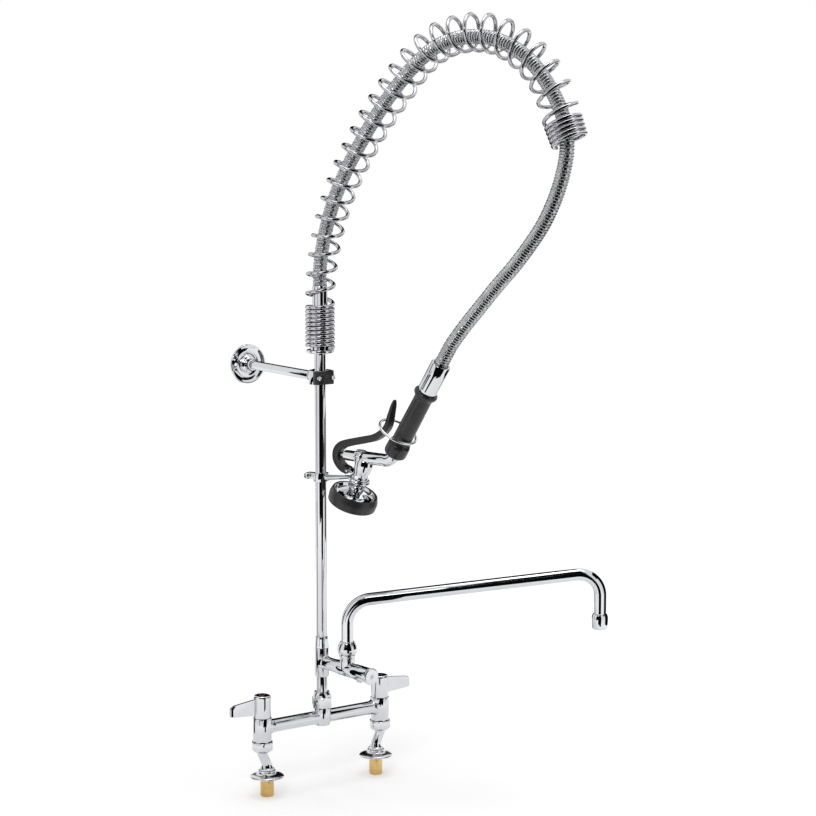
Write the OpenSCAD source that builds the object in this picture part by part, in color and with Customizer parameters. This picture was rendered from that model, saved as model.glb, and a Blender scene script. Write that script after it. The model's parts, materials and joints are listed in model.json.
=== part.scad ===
// Deck mounted pre rinse faucet: bridge, riser, sprung hose arch, spray valve and add-on spout.
// Millimetres. Z = 0 is the deck, the riser stands on the Z axis, -Y faces the user and +Y the wall.

/* [Bridge and valves] */
// Distance between the two inlets in the deck
inlet_centres = 203.2; // [180:0.1:230]
// Sideways throw of each offset leg, outwards
leg_throw = 8; // [4:0.5:12]
// Height of the valve bodies' lower face above the deck
body_z = 57; // [54:0.5:68]
// Height of the valve bodies' upper face above the deck
body_top_z = 94.7; // [92:0.1:106]
// Outer diameter of a valve body
body_d = 28.8; // [27:0.1:34]
// Height of the bridge tube's axis above the deck
bridge_z = 79; // [76:0.5:80]
// Outer diameter of the bridge tube
bridge_d = 20.8; // [18:0.1:22]
// Diameter of the centre boss of the bridge
boss_d = 27; // [26:0.1:30]

/* [Handles] */
// Height of a handle's hub
hub_h = 35.4; // [33:0.1:42]
// Reach of a lever's tip from the valve axis
lever_reach = 57; // [45:1:80]
// Thickness of the lever blade
blade_t = 4; // [3:0.1:6]

/* [Deck fittings] */
// Outer diameter of an inlet shank
shank_d = 20.9; // [19:0.1:22]
// Length of an inlet shank below the deck
shank_drop = 30; // [15:1:60]
// Diameter of an escutcheon
escutcheon_d = 53; // [46:1:60]

/* [Riser] */
// Outer diameter of the riser pipe and the short nipple
pipe_d = 17.15; // [15:0.05:18]
// Height of the riser's top above the deck
riser_top = 661; // [608:1:708]
// Wall thickness of the pipes
pipe_wall = 1.6; // [1.2:0.1:2]

/* [Add-on spout] */
// Turn of the add-on branch from straight ahead, in degrees
branch_turn = 4; // [-8:1:8]
// Height of the branch axis above the deck
branch_z = 167; // [166:0.5:170]
// Distance from the riser axis to the spout's swing axis
swing_reach = 65; // [62:0.5:68]
// Outer diameter of the spout tube
spout_d = 19; // [17:0.1:19.4]
// Reach of the spout from its swing axis to its outlet
spout_reach = 386; // [250:1:420]
// Direction of the spout at rest, from straight ahead, in degrees
spout_turn = 54; // [0:1:80]
// Rise of the spout's long run, in degrees
spout_rise = 7; // [2:0.5:9]

/* [Wall bracket] */
// Drop from the riser's top to the middle of the wall clamp and the arm
arm_drop = 48.3; // [38:0.1:93]
// Distance from the riser axis to the wall
wall_y = 215; // [150:1:320]
// Diameter of the wall flange
flange_d = 63; // [58:1:75]
// Distance between the two wall screw holes
wall_screw_gap = 44; // [40:1:50]

/* [Hook and spray valve] */
// Direction of the hook, the spray valve and the hose arch, from straight ahead, in degrees
loop_turn = 15; // [0:1:40]
// Height of the hook's collar above the deck
hook_z = 458; // [452:1:460]
// Distance from the riser axis to the middle of the hook's ring
hook_reach = 77.7; // [76:0.1:82]
// Height of the middle of the hook's ring above the deck
hang_z = 461; // [460:0.5:464]
// Lean of the spray head from straight down, in degrees
head_lean = 22; // [18:1:26]
// Lean of the grip from straight up, in degrees
grip_lean = 32.2; // [30:0.1:36]
// Outer diameter of the rubber bumper
bumper_d = 76; // [72:1:84]

/* [Spring and hose] */
// Wire diameter of the overhead spring
wire_d = 5.7; // [4.5:0.1:5.8]
// Mean coil diameter where the spring is wound close, at its foot
coil_foot_d = 39.4; // [38:0.1:42]
// Mean coil diameter where the spring is open, over the arch
coil_arch_d = 51.6; // [46:0.1:53]
// Close-wound turns at the foot of the spring
foot_turns = 10; // [6:1:12]
// Open turns over the arch
open_turns = 26; // [20:1:30]
// Close-wound turns at the far end of the spring
end_turns = 5; // [3:1:6]
// Outer diameter of the ribbed hose
hose_d = 21.5; // [18:0.1:22]
// Ribs along the hose
hose_ribs = 130; // [60:1:150]

/* [Clearances] */
// Gap between pieces that are fixed together
fit = 0.1; // [0.05:0.05:0.2]
// Radial running clearance of a shaft in its hole
run = 0.05; // [0.02:0.01:0.1]
// Gap between pieces that move apart
gap = 0.3; // [0.2:0.05:0.5]

/* [Hidden] */
arm_z = riser_top - arm_drop;
$fn = 64;

chrome = "silver";
brass = "goldenrod";
black = "#232326";

// Bridge, legs and handles
inlet_x = inlet_centres / 2;
valve_x = inlet_x + leg_throw;
chamber_r = 10;
shank_neck_r = shank_d / 2 - 0.4;
spigot_r = 11.6;
nut_h = 15.7;
nut_af = 31;
seal_t = 2;
leg_flange_t = 3;
spigot_z = body_z - 7.5;
leg_r = 7.6;
leg_rise = 18;
foot_z = 11;
hub_z = body_top_z + gap;
hub_top = hub_z + hub_h;
stem_r = 4;
index_r = 4.35;
web_z = hub_z + 17;
screw_z = web_z + 4;

// Centre stack, from the bridge boss up to the riser
boss_top = body_top_z + 0.3;
union_nut_h = 25;
union_af = 29;
stud_top = boss_top + 12.5;
nipple_flange_z = stud_top + 1.2;
nipple_flange_t = 4.5;
tee_d = 22;
tee_z = boss_top + 49;
tee_h = 45.5;
tee_top = tee_z + tee_h;
socket_depth = 10;
collar_h = 17.9;
pipe_r = pipe_d / 2;
pipe_bore_r = pipe_r - pipe_wall;

// Add-on branch, measured outwards from the riser axis
branch_r = 10;
addon_r = 11.5;
addon_start = swing_reach - 33.5;
addon_end = swing_reach + 17.5;
knob_r = 12;
knob_end = addon_end + 38;
cap_r = 13;
cap_t = 5;
post_r = 12.4;
post_top = branch_z + 24;
spout_nut_h = 20;
thread_top = post_top + 10;
socket_z = branch_z + 7;
spout_r = spout_d / 2;
spout_wall = 2.1;
bend_r = 40;
drop_r = 32;
run_low_z = branch_z + 106;
outlet_r = 12.5;
outlet_h = 24.6;

// Wall bracket
arm_r = 7;
clamp_w = 35;
clamp_h = 21;
clamp_screw_x = 12.5;
cap_front = 17;
split_y = -7;
flange_r = flange_d / 2;
hub_r = 14;

// Spring seat, spring and hose
seat_z = riser_top - 11;
seat_top = seat_z + 5;
seat_r = 20.75;
wire_r = wire_d / 2;
close_pitch = wire_d + 0.75;
spring_turns = foot_turns + open_turns + end_turns;
curl_rings = 8;
curl_sides = 6;
hose_nut_top = riser_top + 92;
hose_r = hose_d / 2;
hose_groove_r = hose_r - 1.1;
hose_bore_r = 6.5;
hose_sides = 8;

// Spring axis in the arch plane: reach from the riser axis, height above the spring's seat
spring_route = [[0, 0], [0, 30], [0, 62], [1, 90], [4, 120], [12, 160], [24, 200], [41, 240], [63, 280],
    [90, 320], [121, 360], [157, 400], [193, 436], [230, 460], [262, 470], [296, 474], [330, 471],
    [362, 460], [392, 442], [418, 418], [438, 388], [452, 354], [468, 320]];

// Hose axis in the arch plane: reach from the riser axis, height above the deck
hose_route = [[0, 753], [0, 764], [0, 775], [5, 808], [16, 848], [32, 888], [54, 928], [80, 966],
    [112, 1008], [148, 1048], [185, 1082], [224, 1108], [262, 1120], [298, 1123], [333, 1119],
    [368, 1106], [400, 1085], [425, 1058], [444, 1030], [456.5, 1000], [460, 966], [453, 930],
    [439, 894], [420, 860], [395, 828], [368, 798], [338, 768.5], [309, 738], [281, 708.5], [257.5, 681],
    [246.6, 664.6], [240.7, 655.3], [234.9, 646.05]];

// Spray valve: reach and height measured from a point 2.6 mm outside the middle of the hook's ring
valve_shift = 2.6;
neck_r = 9.3;
run_rise = 36;
run_r = 9.5;
run_end = 49.7;
elbow_r = 20;
bonnet_end = -28.3;
bonnet_r = 8;
bonnet_nut = [-4.3, 7.4];
bonnet_nut_r = 11.4;
push_r = 3.05;
push_tip = -38.3;
valve_seat = [27.7, 30.7];
pivot = [-22.3, 13];
lug_t = 6.8;
lever_w = 14;
pin_r = 2;
hook_ring_r = 14;
hook_wire_r = 3;
grip_len = 119;
ferrule_len = 46;
ferrule_lip = 5;
grip_bore_r = 8.6;
dish_back = -20.5;
dish_front = -40.3;
dish_r = 29.9;
rim_r = 33.2;
bumper_r = bumper_d / 2;
ring_r = 29.5;
ring_wire_r = 2;
ring_offset = 12.6;
ring_at = 34.7;

// Lever's centre line from the pin to its tip, then its half thickness there
lever_route = [[-22.3, 13], [-32, 16], [-40, 22], [-45.2, 31], [-44, 42], [-36, 50.5], [-23, 55.5],
    [3.7, 61.9], [29.7, 68.6], [45.5, 77.5], [56, 88.8], [62.2, 108], [68.5, 129]];
lever_half_t = [[0, 5.6], [7, 5.8], [8.4, 5.2], [9.4, 4.5], [10.5, 3.8], [11.4, 2.8], [12, 1.4]];

// ---------------------------------------------------------------- curves

// Point on a smooth curve between b and c
function curve(a, b, c, d, t) =
    0.5 * (2 * b + (c - a) * t + (2 * a - 5 * b + 4 * c - d) * t * t + (3 * b - a - 3 * c + d) * t * t * t);

// Smooth curve through the points p, with n steps between each pair
function smooth(p, n) = concat(
    [for (k = [0 : len(p) - 2], j = [0 : n - 1])
        curve(p[max(k - 1, 0)], p[k], p[k + 1], p[min(k + 2, len(p) - 1)], j / n)],
    [p[len(p) - 1]]);

// Distance along the points p, one value for each
function distances(p) =
    [for (i = 0, s = 0; i < len(p); s = s + (i + 1 < len(p) ? norm(p[i + 1] - p[i]) : 0), i = i + 1) s];

// Table of one coordinate against the distance along p
function table(p, s, axis) = [for (i = [0 : len(p) - 1]) [s[i], p[i][axis]]];

function unit(v) = v / norm(v);

// Corners of a ring of n points round the centre c, in the plane of u and v
function ring_points(c, u, v, r,
    n) = [for (i = [0 : n - 1]) c + r * (cos(360 * i / n) * u + sin(360 * i / n) * v)];

// Triangles of the wall between ring a and ring b of n points each
function wall_faces(a, b, n) = [for (i = [0 : n - 1], k = [0, 1])
    k == 0 ? [a + i, b + i, b + (i + 1) % n] : [a + i, b + (i + 1) % n, a + (i + 1) % n]];

// ---------------------------------------------------------------- spring

spring_line = smooth(spring_route, 8);
spring_s = distances(spring_line);
spring_x = table(spring_line, spring_s, 0);
spring_z = table(spring_line, spring_s, 1);
spring_start = wire_r + fit;
spring_end = spring_s[len(spring_s) - 1] - wire_r;
open_len = spring_end - spring_start - (foot_turns + end_turns) * close_pitch;
open_pitch = open_len / open_turns;
turns_table = [[0, spring_start], [foot_turns, spring_start + foot_turns * close_pitch],
    [foot_turns + open_turns, spring_end - end_turns * close_pitch], [spring_turns, spring_end]];
coil_table = [[0, coil_foot_d / 2], [foot_turns, coil_foot_d / 2],
    [foot_turns + open_turns / 2, coil_arch_d / 2],
    [foot_turns + open_turns, coil_arch_d / 2], [spring_turns, coil_arch_d / 2 - 1.2]];

// Place, inward direction and coil radius of the spring at turn t
function spring_axis(s) = [lookup(s, spring_x), 0, lookup(s, spring_z)];
function spring_in(s) = let (d = unit(spring_axis(s + 1) - spring_axis(s - 1))) [d.z, 0, -d.x];
function spring_point(t) = let (s = lookup(t, turns_table), r = lookup(t, coil_table), a = 360 * t)
    spring_axis(s) + r * (cos(a) * spring_in(s) + sin(a) * [0, 1, 0]);
function spring_ring(t) = let (c = spring_point(t), s = lookup(t, turns_table),
        d = unit(spring_point(min(t + 0.02, spring_turns)) - spring_point(max(t - 0.02, 0))),
        out = c - spring_axis(s), u = unit(out - (out * d) * d))
    ring_points(c, u, cross(d, u), wire_r, curl_sides);

spring_count = spring_turns * curl_rings;
spring_centres = [for (k = [0 : spring_count]) spring_point(k / curl_rings)];

// Least gap of the wire to its own next turns, over the points of one to two turns further on
spring_gap = min([for (i = [0 : spring_count - 5], j = [i + 5 : min(i + 2 * curl_rings, spring_count)])
    norm(spring_centres[i] - spring_centres[j])]) - wire_d;
echo(str("overhead_spring: least gap to itself ", spring_gap, " mm, open pitch ", open_pitch, " mm"));

module overhead_spring() {
    points = [for (k = [0 : spring_count], p = spring_ring(k / curl_rings)) p];
    walls = [for (k = [0 : spring_count - 1], f = wall_faces(k * curl_sides, (k + 1) * curl_sides,
        curl_sides)) f];
    last = spring_count * curl_sides;
    caps = concat([for (i = [1 : curl_sides - 2]) [0, i, i + 1]],
        [for (i = [1 : curl_sides - 2]) [last, last + i + 1, last + i]]);
    color(chrome) arch_plane() translate([0, 0, seat_top]) polyhedron(points, concat(walls, caps));
}

// ---------------------------------------------------------------- hose

hose_line = smooth(hose_route, 6);
hose_s = distances(hose_line);
hose_x = table(hose_line, hose_s, 0);
hose_z = table(hose_line, hose_s, 1);
hose_len = hose_s[len(hose_s) - 1];
hose_rings = 2 * hose_ribs;
bore_rings = 44;
echo(str("hose: length along its axis ", hose_len, " mm"));

function hose_axis(s) = [lookup(s, hose_x), 0, lookup(s, hose_z)];
function hose_ring(s, r) = let (d = unit(hose_axis(min(s + 1, hose_len)) - hose_axis(max(s - 1, 0))))
    ring_points(hose_axis(s), [d.z, 0, -d.x], [0, 1, 0], r, hose_sides);

// Ribs outside, smooth bore inside
module hose() {
    outer = [for (k = [0 : hose_rings], r = k % 2 == 0 ? hose_groove_r : hose_r,
        p = hose_ring(hose_len * k / hose_rings, r)) p];
    inner = [for (k = [0 : bore_rings], p = hose_ring(hose_len * k / bore_rings, hose_bore_r)) p];
    n = hose_sides;
    first_in = len(outer);
    last_out = hose_rings * n;
    last_in = first_in + bore_rings * n;
    faces = concat(
        [for (k = [0 : hose_rings - 1], f = wall_faces(k * n, (k + 1) * n, n)) f],
        [for (k = [0 : bore_rings - 1], f = wall_faces(first_in + (k + 1) * n, first_in + k * n, n)) f],
        wall_faces(first_in, 0, n),
        wall_faces(last_out, last_in, n));
    color(chrome) arch_plane() polyhedron(concat(outer, inner), faces);
}

// ---------------------------------------------------------------- placing

// The vertical plane of the hook, the spray valve and the arch: x is the reach from the riser
module arch_plane() rotate([0, 0, loop_turn - 90]) children();

// The point that the spray valve's places are measured from
module at_hook() arch_plane() translate([hook_reach + valve_shift, 0, hang_z]) children();

// The spray head's axis, from the middle of the hook's ring: z points back up the neck
module head_axis() arch_plane() translate([hook_reach, 0, hang_z]) rotate([0, head_lean, 0]) children();

// The valve's horizontal run: z points from the stem's button to the elbow
module run_axis() at_hook() translate([0, 0, run_rise]) rotate([0, 90, 0]) children();

// The grip's axis: z points from the elbow to the hose
grip_x = run_end + elbow_r * sin(90 - grip_lean);
grip_z = run_rise + elbow_r * (1 - cos(90 - grip_lean));
module grip_axis() at_hook() translate([grip_x, 0, grip_z]) rotate([0, grip_lean, 0]) children();

// The add-on branch: z points outwards from the riser
module branch_axis() rotate([0, 0, branch_turn - 90]) translate([0, 0, branch_z]) rotate([0, 90,
    0]) children();

// The spout's vertical swing axis
module swing_axis() rotate([0, 0, branch_turn - 90]) translate([swing_reach, 0, 0]) children();
module spout_plane() swing_axis() rotate([0, 0, spout_turn - branch_turn]) children();

// One valve side: -1 is hot (left), 1 is cold (right)
module at_valve(side) translate([side * valve_x, 0, 0]) children();
module at_inlet(side) translate([side * inlet_x, 0, 0]) children();

// Straight tube from z0 to z1
module tube(r, bore, z0, z1) translate([0, 0, z0]) difference() {
    cylinder(r = r, h = z1 - z0);
    translate([0, 0, -1]) cylinder(r = bore, h = z1 - z0 + 2);
}

// Solid turned from an outline of radius and height
module turned(outline) rotate_extrude() polygon(outline);

// ---------------------------------------------------------------- bridge

module bridge_outside() {
    for (side = [-1, 1]) at_valve(side) {
        translate([0, 0, body_z]) cylinder(d = body_d, h = body_top_z - body_z);
        translate([0, 0, spigot_z]) cylinder(r = spigot_r, h = body_z - spigot_z + 1);
        // flared root of the bridge tube
        translate([0, 0, bridge_z]) rotate([0, -90 * side, 0])
            turned([[0, 0], [13, 0], [13, 13.2], [11.4, 15], [bridge_d / 2 + 0.4, 18],
                [bridge_d / 2, 22], [0, 22]]);
    }
    translate([-valve_x, 0, bridge_z]) rotate([0, 90, 0]) cylinder(d = bridge_d, h = 2 * valve_x);
    turned([[0, bridge_z - 13], [boss_d / 2 - 3, bridge_z - 13], [boss_d / 2 - 0.8, bridge_z - 11.5],
        [boss_d / 2, bridge_z - 9], [boss_d / 2, boss_top], [0, boss_top]]);
    translate([0, 0, boss_top - 1]) cylinder(r = 10.9, h = stud_top - boss_top + 1);
}

module bridge_body() color(chrome) difference() {
    bridge_outside();
    for (side = [-1, 1]) at_valve(side) {
        translate([0, 0, body_top_z - 31]) cylinder(r = chamber_r, h = 40);
        translate([0, 0, spigot_z - 1]) cylinder(r = 6, h = 40);
    }
    translate([-valve_x, 0, bridge_z]) rotate([0, 90, 0]) cylinder(r = 6.5, h = 2 * valve_x);
    translate([0, 0, bridge_z]) cylinder(r = 7, h = 60);
}

// Fixed brass body of a quarter-turn valve, with ports to the bridge
module cartridge(side) color(brass) at_valve(side) difference() {
    union() {
        translate([0, 0, body_top_z - 30.9]) cylinder(r = chamber_r - fit, h = 30.9);
        translate([0, 0, body_top_z]) cylinder(r = 7.5, h = 8);
    }
    translate([0, 0, body_top_z - 32]) cylinder(r = 5.5, h = 6);
    translate([0, 0, bridge_z]) rotate([0, -90 * side, 0]) cylinder(r = 4, h = 12);
    translate([0, 0, body_top_z - 27]) cylinder(r = stem_r + run, h = 50);
}

module stem(side) color(brass) at_valve(side) difference() {
    translate([0, 0, body_top_z - 26.7]) cylinder(r = stem_r, h = web_z - body_top_z + 26.6);
    translate([0, 0, web_z - 12]) cylinder(r = 2.5, h = 20);
}

// Outline of a lever blade, seen from the front: x outwards, y up from the hub's foot
blade_tip_low = 7.5;
blade_tip_high = 25.5;
tip_r = 4;
function corner(c, r, a0, a1) = [for (a = [a0 : (a1 - a0) / 6 : a1]) c + r * [cos(a), sin(a)]];
blade_outline = concat([[8, 4.3]],
    corner([lever_reach - tip_r, blade_tip_low + tip_r], tip_r, -80, 0),
    corner([lever_reach - tip_r, blade_tip_high - tip_r], tip_r, 0, 75),
    [[8, 30.8]]);

module handle(side) color(chrome) at_valve(side) translate([0, 0, hub_z]) difference() {
    union() {
        turned([[0, 0], [13.75, 0], [13.45, hub_h - 5.5], [13, hub_h - 2.6], [12, hub_h - 0.9],
            [10.3, hub_h], [0, hub_h]]);
        rotate([90, 0, side > 0 ? 0 : 180]) linear_extrude(blade_t, center = true) polygon(blade_outline);
    }
    translate([0, 0, -1]) cylinder(r = 9.5, h = 11);
    translate([0, 0, 5]) cylinder(r = stem_r + run, h = web_z - hub_z - 5);
    translate([0, 0, 12]) cylinder(r = 2.6, h = 20);
    translate([0, 0, screw_z - hub_z]) cylinder(r = index_r + fit, h = 30);
}

module handle_screw(side) color(chrome) at_valve(side) difference() {
    union() {
        translate([0, 0, web_z - 10]) cylinder(r = 2.45, h = 14.5);
        translate([0, 0, screw_z + 0.05]) cylinder(r = index_r - 0.1, h = 3);
    }
    translate([0, 0, screw_z + 1.5]) cylinder(r = 1.8, h = 3, $fn = 6);
}

module index_button(side) color(side < 0 ? "#5a0f10" : "#0d0f1c") at_valve(side)
    translate([0, 0, screw_z + 3.2])
        turned([[0, 0], [index_r, 0], [index_r, hub_top - screw_z - 3.1],
            [index_r - 0.6, hub_top - screw_z - 2.8],
            [0, hub_top - screw_z - 2.7]]);

// ---------------------------------------------------------------- legs and deck fittings

nut_z = body_z - 0.3 - nut_h;
leg_flange_z = spigot_z - seal_t - leg_flange_t;

module coupling_nut(side) color(chrome) at_valve(side) difference() {
    intersection() {
        translate([0, 0, nut_z]) cylinder(d = nut_af / cos(30), h = nut_h, $fn = 6);
        turned([[0, nut_z], [12.2, nut_z], [17.4, nut_z + 4.5], [17.9, nut_z + nut_h - 1],
            [16.6, nut_z + nut_h], [0, nut_z + nut_h]]);
    }
    translate([0, 0, nut_z - 1]) cylinder(r = 9, h = 20);
    translate([0, 0, leg_flange_z - fit]) cylinder(r = spigot_r + fit, h = 20);
}

module leg_seals() color("#3a3a3c") for (side = [-1, 1]) at_valve(side)
    tube(spigot_r - 0.2, 6, spigot_z - seal_t, spigot_z);

module offset_leg(side) {
    slant = atan2(leg_throw, leg_rise);
    slant_len = norm([leg_throw, leg_rise]);
    low_z = foot_z + 8;
    high_z = low_z + leg_rise;
    color(chrome) difference() {
        union() {
            at_valve(side) {
                translate([0, 0, leg_flange_z]) cylinder(r = spigot_r - 0.2, h = leg_flange_t);
                turned([[0, high_z - 2], [leg_r, high_z - 2], [leg_r + 0.6, high_z + 1.5],
                    [8.7, high_z + 3],
                    [8.7, leg_flange_z + 0.5], [0, leg_flange_z + 0.5]]);
                translate([0, 0, high_z]) sphere(r = leg_r + 0.1);
            }
            at_inlet(side) {
                turned([[0, foot_z], [11.5, foot_z], [11.5, foot_z + 2.5], [9.6, foot_z + 4.2],
                    [leg_r, low_z + 1], [0, low_z + 1]]);
                translate([0, 0, low_z]) {
                    sphere(r = leg_r + 0.1);
                    rotate([0, side * slant, 0]) cylinder(r = leg_r, h = slant_len);
                }
            }
        }
        at_valve(side) translate([0, 0, high_z]) {
            cylinder(r = 5, h = 30);
            sphere(r = 5.1);
        }
        at_inlet(side) {
            translate([0, 0, foot_z - 1]) cylinder(r = 5, h = low_z - foot_z + 1);
            translate([0, 0, low_z]) {
                sphere(r = 5.1);
                rotate([0, side * slant, 0]) cylinder(r = 5, h = slant_len);
            }
        }
    }
}

module escutcheon(side) {
    edge_r = escutcheon_d / 2;
    bore_r = shank_neck_r + fit;
    color(chrome) at_inlet(side) turned([[bore_r, 3], [edge_r - 3.5, 1.2], [edge_r - 2.5, 0], [edge_r, 0],
        [edge_r, 1.2], [edge_r - 1, 2.4], [22, 4.2], [17, 5.8], [14.6, 7.2], [13.4, 9], [13.4, 10.3],
        [12.8, foot_z - fit], [bore_r, foot_z - fit]]);
}

module inlet_shank(side) color(brass) at_inlet(side) difference() {
    turned([[0, -shank_drop], [shank_d / 2 - 1, -shank_drop], [shank_d / 2, 1 - shank_drop],
        [shank_d / 2, 0],
        [shank_neck_r, 0], [shank_neck_r, foot_z - fit], [0, foot_z - fit]]);
    translate([0, 0, -shank_drop - 1]) cylinder(r = 6.5, h = shank_drop + foot_z + 2);
}

// ---------------------------------------------------------------- centre stack

module union_nut() color(chrome) difference() {
    intersection() {
        translate([0, 0, boss_top + gap]) cylinder(d = union_af / cos(30), h = union_nut_h, $fn = 6);
        turned([[0, boss_top], [15.4, boss_top], [16.7, boss_top + 1.4], [16.7, boss_top + 14.5],
            [14, boss_top + 17], [13.4, boss_top + 21], [11.4, boss_top + union_nut_h],
            [0, boss_top + union_nut_h]]);
    }
    translate([0, 0, boss_top]) cylinder(r = pipe_r + fit, h = 40);
    translate([0, 0, boss_top]) cylinder(r = 11, h = nipple_flange_z + nipple_flange_t + fit - boss_top);
}

module union_seal() color("#3a3a3c") tube(10.4, 7.2, stud_top, nipple_flange_z);

module short_nipple() color(chrome) difference() {
    union() {
        translate([0, 0, nipple_flange_z]) cylinder(r = 10.6, h = nipple_flange_t);
        translate([0, 0, nipple_flange_z]) cylinder(r = pipe_r, h = tee_z + socket_depth - nipple_flange_z);
    }
    translate([0, 0, nipple_flange_z - 1]) cylinder(r = pipe_bore_r, h = 80);
}

module addon_tee() color(chrome) difference() {
    union() {
        turned([[0, tee_z], [tee_d / 2 - 1, tee_z], [tee_d / 2, tee_z + 1.6], [tee_d / 2, tee_top],
            [0, tee_top]]);
        translate([0, 0, tee_top - 1]) cylinder(r = 9.9, h = 7);
        branch_axis() cylinder(r = branch_r, h = addon_start - fit);
        branch_axis() turned([[0, 0], [11, 0], [11, 10.5], [branch_r + 0.3, 13], [branch_r, 16], [0, 16]]);
    }
    translate([0, 0, tee_z - 1]) cylinder(r = pipe_r + fit, h = socket_depth + 1 + fit);
    translate([0, 0, tee_z + 1]) cylinder(r = 6.5, h = tee_h);
    translate([0, 0, tee_top - 13.5]) cylinder(r = pipe_r + fit, h = 30);
    branch_axis() cylinder(r = 5.5, h = addon_start + 1);
}

module riser_collar() color(chrome) difference() {
    turned([[0, tee_top + fit], [11, tee_top + fit], [11, tee_top + 1.4], [9.9, tee_top + collar_h - 1.6],
        [9.2, tee_top + collar_h], [0, tee_top + collar_h]]);
    translate([0, 0, tee_top]) cylinder(r = pipe_r + fit, h = 40);
    translate([0, 0, tee_top]) cylinder(r = 9.9 + fit, h = 6.2);
}

module riser_pipe() color(chrome) tube(pipe_r, pipe_bore_r, tee_top - 13.4, riser_top);

// ---------------------------------------------------------------- add-on valve and spout

module addon_body() color(chrome) difference() {
    union() {
        branch_axis() turned([[0, addon_start], [branch_r, addon_start], [branch_r + 0.4, addon_start + 5],
            [addon_r, swing_reach - 14], [addon_r, addon_end], [0, addon_end]]);
        swing_axis() {
            turned([[0, branch_z], [post_r - 0.9, branch_z], [post_r - 0.9, post_top - 6],
                [post_r, post_top - 3],
                [post_r, post_top], [0, post_top]]);
            translate([0, 0, post_top - 1]) cylinder(r = spigot_r - 0.4, h = thread_top - post_top + 1);
        }
    }
    branch_axis() translate([0, 0, addon_start - 1]) cylinder(r = 5.5, h = 60);
    branch_axis() translate([0, 0, swing_reach - 6]) cylinder(r = 8, h = 40);
    swing_axis() translate([0, 0, branch_z]) cylinder(r = 5.5, h = 40);
    swing_axis() translate([0, 0, socket_z]) cylinder(r = spout_r + run, h = 40);
}

// Fixed brass valve inside the branch, with a side port up to the spout
module addon_cartridge() color(brass) difference() {
    branch_axis() {
        translate([0, 0, swing_reach - 5.9]) cylinder(r = 8 - fit, h = addon_end + 1 - swing_reach + 5.9);
        translate([0, 0, addon_end]) cylinder(r = 7, h = 12);
    }
    branch_axis() translate([0, 0, swing_reach - 7]) cylinder(r = 4, h = 12);
    swing_axis() translate([0, 0, branch_z]) cylinder(r = 4, h = 20);
    branch_axis() translate([0, 0, swing_reach + 4]) cylinder(r = 3 + run, h = 60);
}

module addon_stem() color(brass) branch_axis() translate([0, 0, swing_reach + 5.3]) difference() {
    cylinder(r = 3, h = knob_end - swing_reach - 5.3);
    translate([0, 0, knob_end - swing_reach - 15]) cylinder(r = 1.6, h = 20);
}

module addon_knob() color(chrome) branch_axis() difference() {
    union() {
        turned([[0, addon_end + gap], [addon_r + 0.1, addon_end + gap], [knob_r, addon_end + 3],
            [knob_r, knob_end - 0.8], [knob_r - 0.8, knob_end], [0, knob_end]]);
        // thumb tab on the underside
        translate([knob_r - 1.5, 0, addon_end + 9]) rotate([0, 90, 0]) cylinder(r = 2.8, h = 3.6);
        translate([knob_r - 1.5, -2.8, addon_end + 9]) cube([3.6, 5.6, 6]);
        translate([knob_r - 1.5, 0, addon_end + 15]) rotate([0, 90, 0]) cylinder(r = 2.8, h = 3.6);
    }
    translate([0, 0, addon_end - 1]) cylinder(r = 8.6, h = 16);
    translate([0, 0, addon_end - 1]) cylinder(r = 3 + run, h = 60);
}

module addon_cap() color(chrome) branch_axis() translate([0, 0, knob_end + fit]) difference() {
    turned([[0, 0], [10.6, 0], [10.6, 1], [cap_r, 1.6], [cap_r, 3.6], [cap_r - 1.2, cap_t - 0.3],
        [6, cap_t],
        [0, cap_t]]);
    translate([0, 0, -1]) cylinder(r = 1.7, h = 10);
    translate([0, 0, cap_t - 2.6]) cylinder(r = 2.9, h = 5);
}

module addon_screw() color(chrome) branch_axis() translate([0, 0, knob_end + fit]) difference() {
    union() {
        translate([0, 0, -9]) cylinder(r = 1.5, h = 12);
        translate([0, 0, cap_t - 2.5]) cylinder(r = 2.8, h = 2.3);
    }
    translate([0, 0, cap_t - 1.6]) cylinder(r = 1.5, h = 3, $fn = 6);
}

module spout_nut() color(chrome) swing_axis() translate([0, 0, post_top + fit]) difference() {
    turned([[0, 0], [post_r, 0], [13.6, 1.2], [15, 4.5], [15.3, 8.5], [14.6, 12.5], [12.8, 16.8],
        [11.4, 19.2],
        [10.8, spout_nut_h], [0, spout_nut_h]]);
    translate([0, 0, -1]) cylinder(r = spigot_r - 0.4 + fit, h = 14);
    translate([0, 0, -1]) cylinder(r = spout_r + gap, h = 40);
}

// The spout's axis lies in its own plane: up, over a bend, along the rising run and down
up_turn = 90 - spout_rise;
down_turn = 90 + spout_rise;
lean_x = bend_r * (1 - cos(up_turn));
run_start = [lean_x, run_low_z + lean_x * tan(spout_rise)];
bend_z = run_start.y - bend_r * sin(up_turn);
drop_x = spout_reach - drop_r * (1 - cos(down_turn));
drop_start = [drop_x, run_low_z + drop_x * tan(spout_rise)];
outlet_z = run_low_z - 41.6;
function drop_centre() = [spout_reach - drop_r, drop_start.y - drop_r * cos(spout_rise)];

// Short band that covers the seam between two lengths of the spout
module seam(r) translate([0, 0, -0.6]) cylinder(r = r + 0.08, h = 1.2);

module spout_path(r) {
    spout_lengths(r);
    translate([0, 0, bend_z]) seam(r);
    translate([run_start.x, 0, run_start.y]) rotate([0, 90 - spout_rise, 0]) seam(r);
    translate([drop_start.x, 0, drop_start.y]) rotate([0, 90 - spout_rise, 0]) seam(r);
    translate([spout_reach, 0, drop_centre().y]) seam(r);
}

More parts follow.
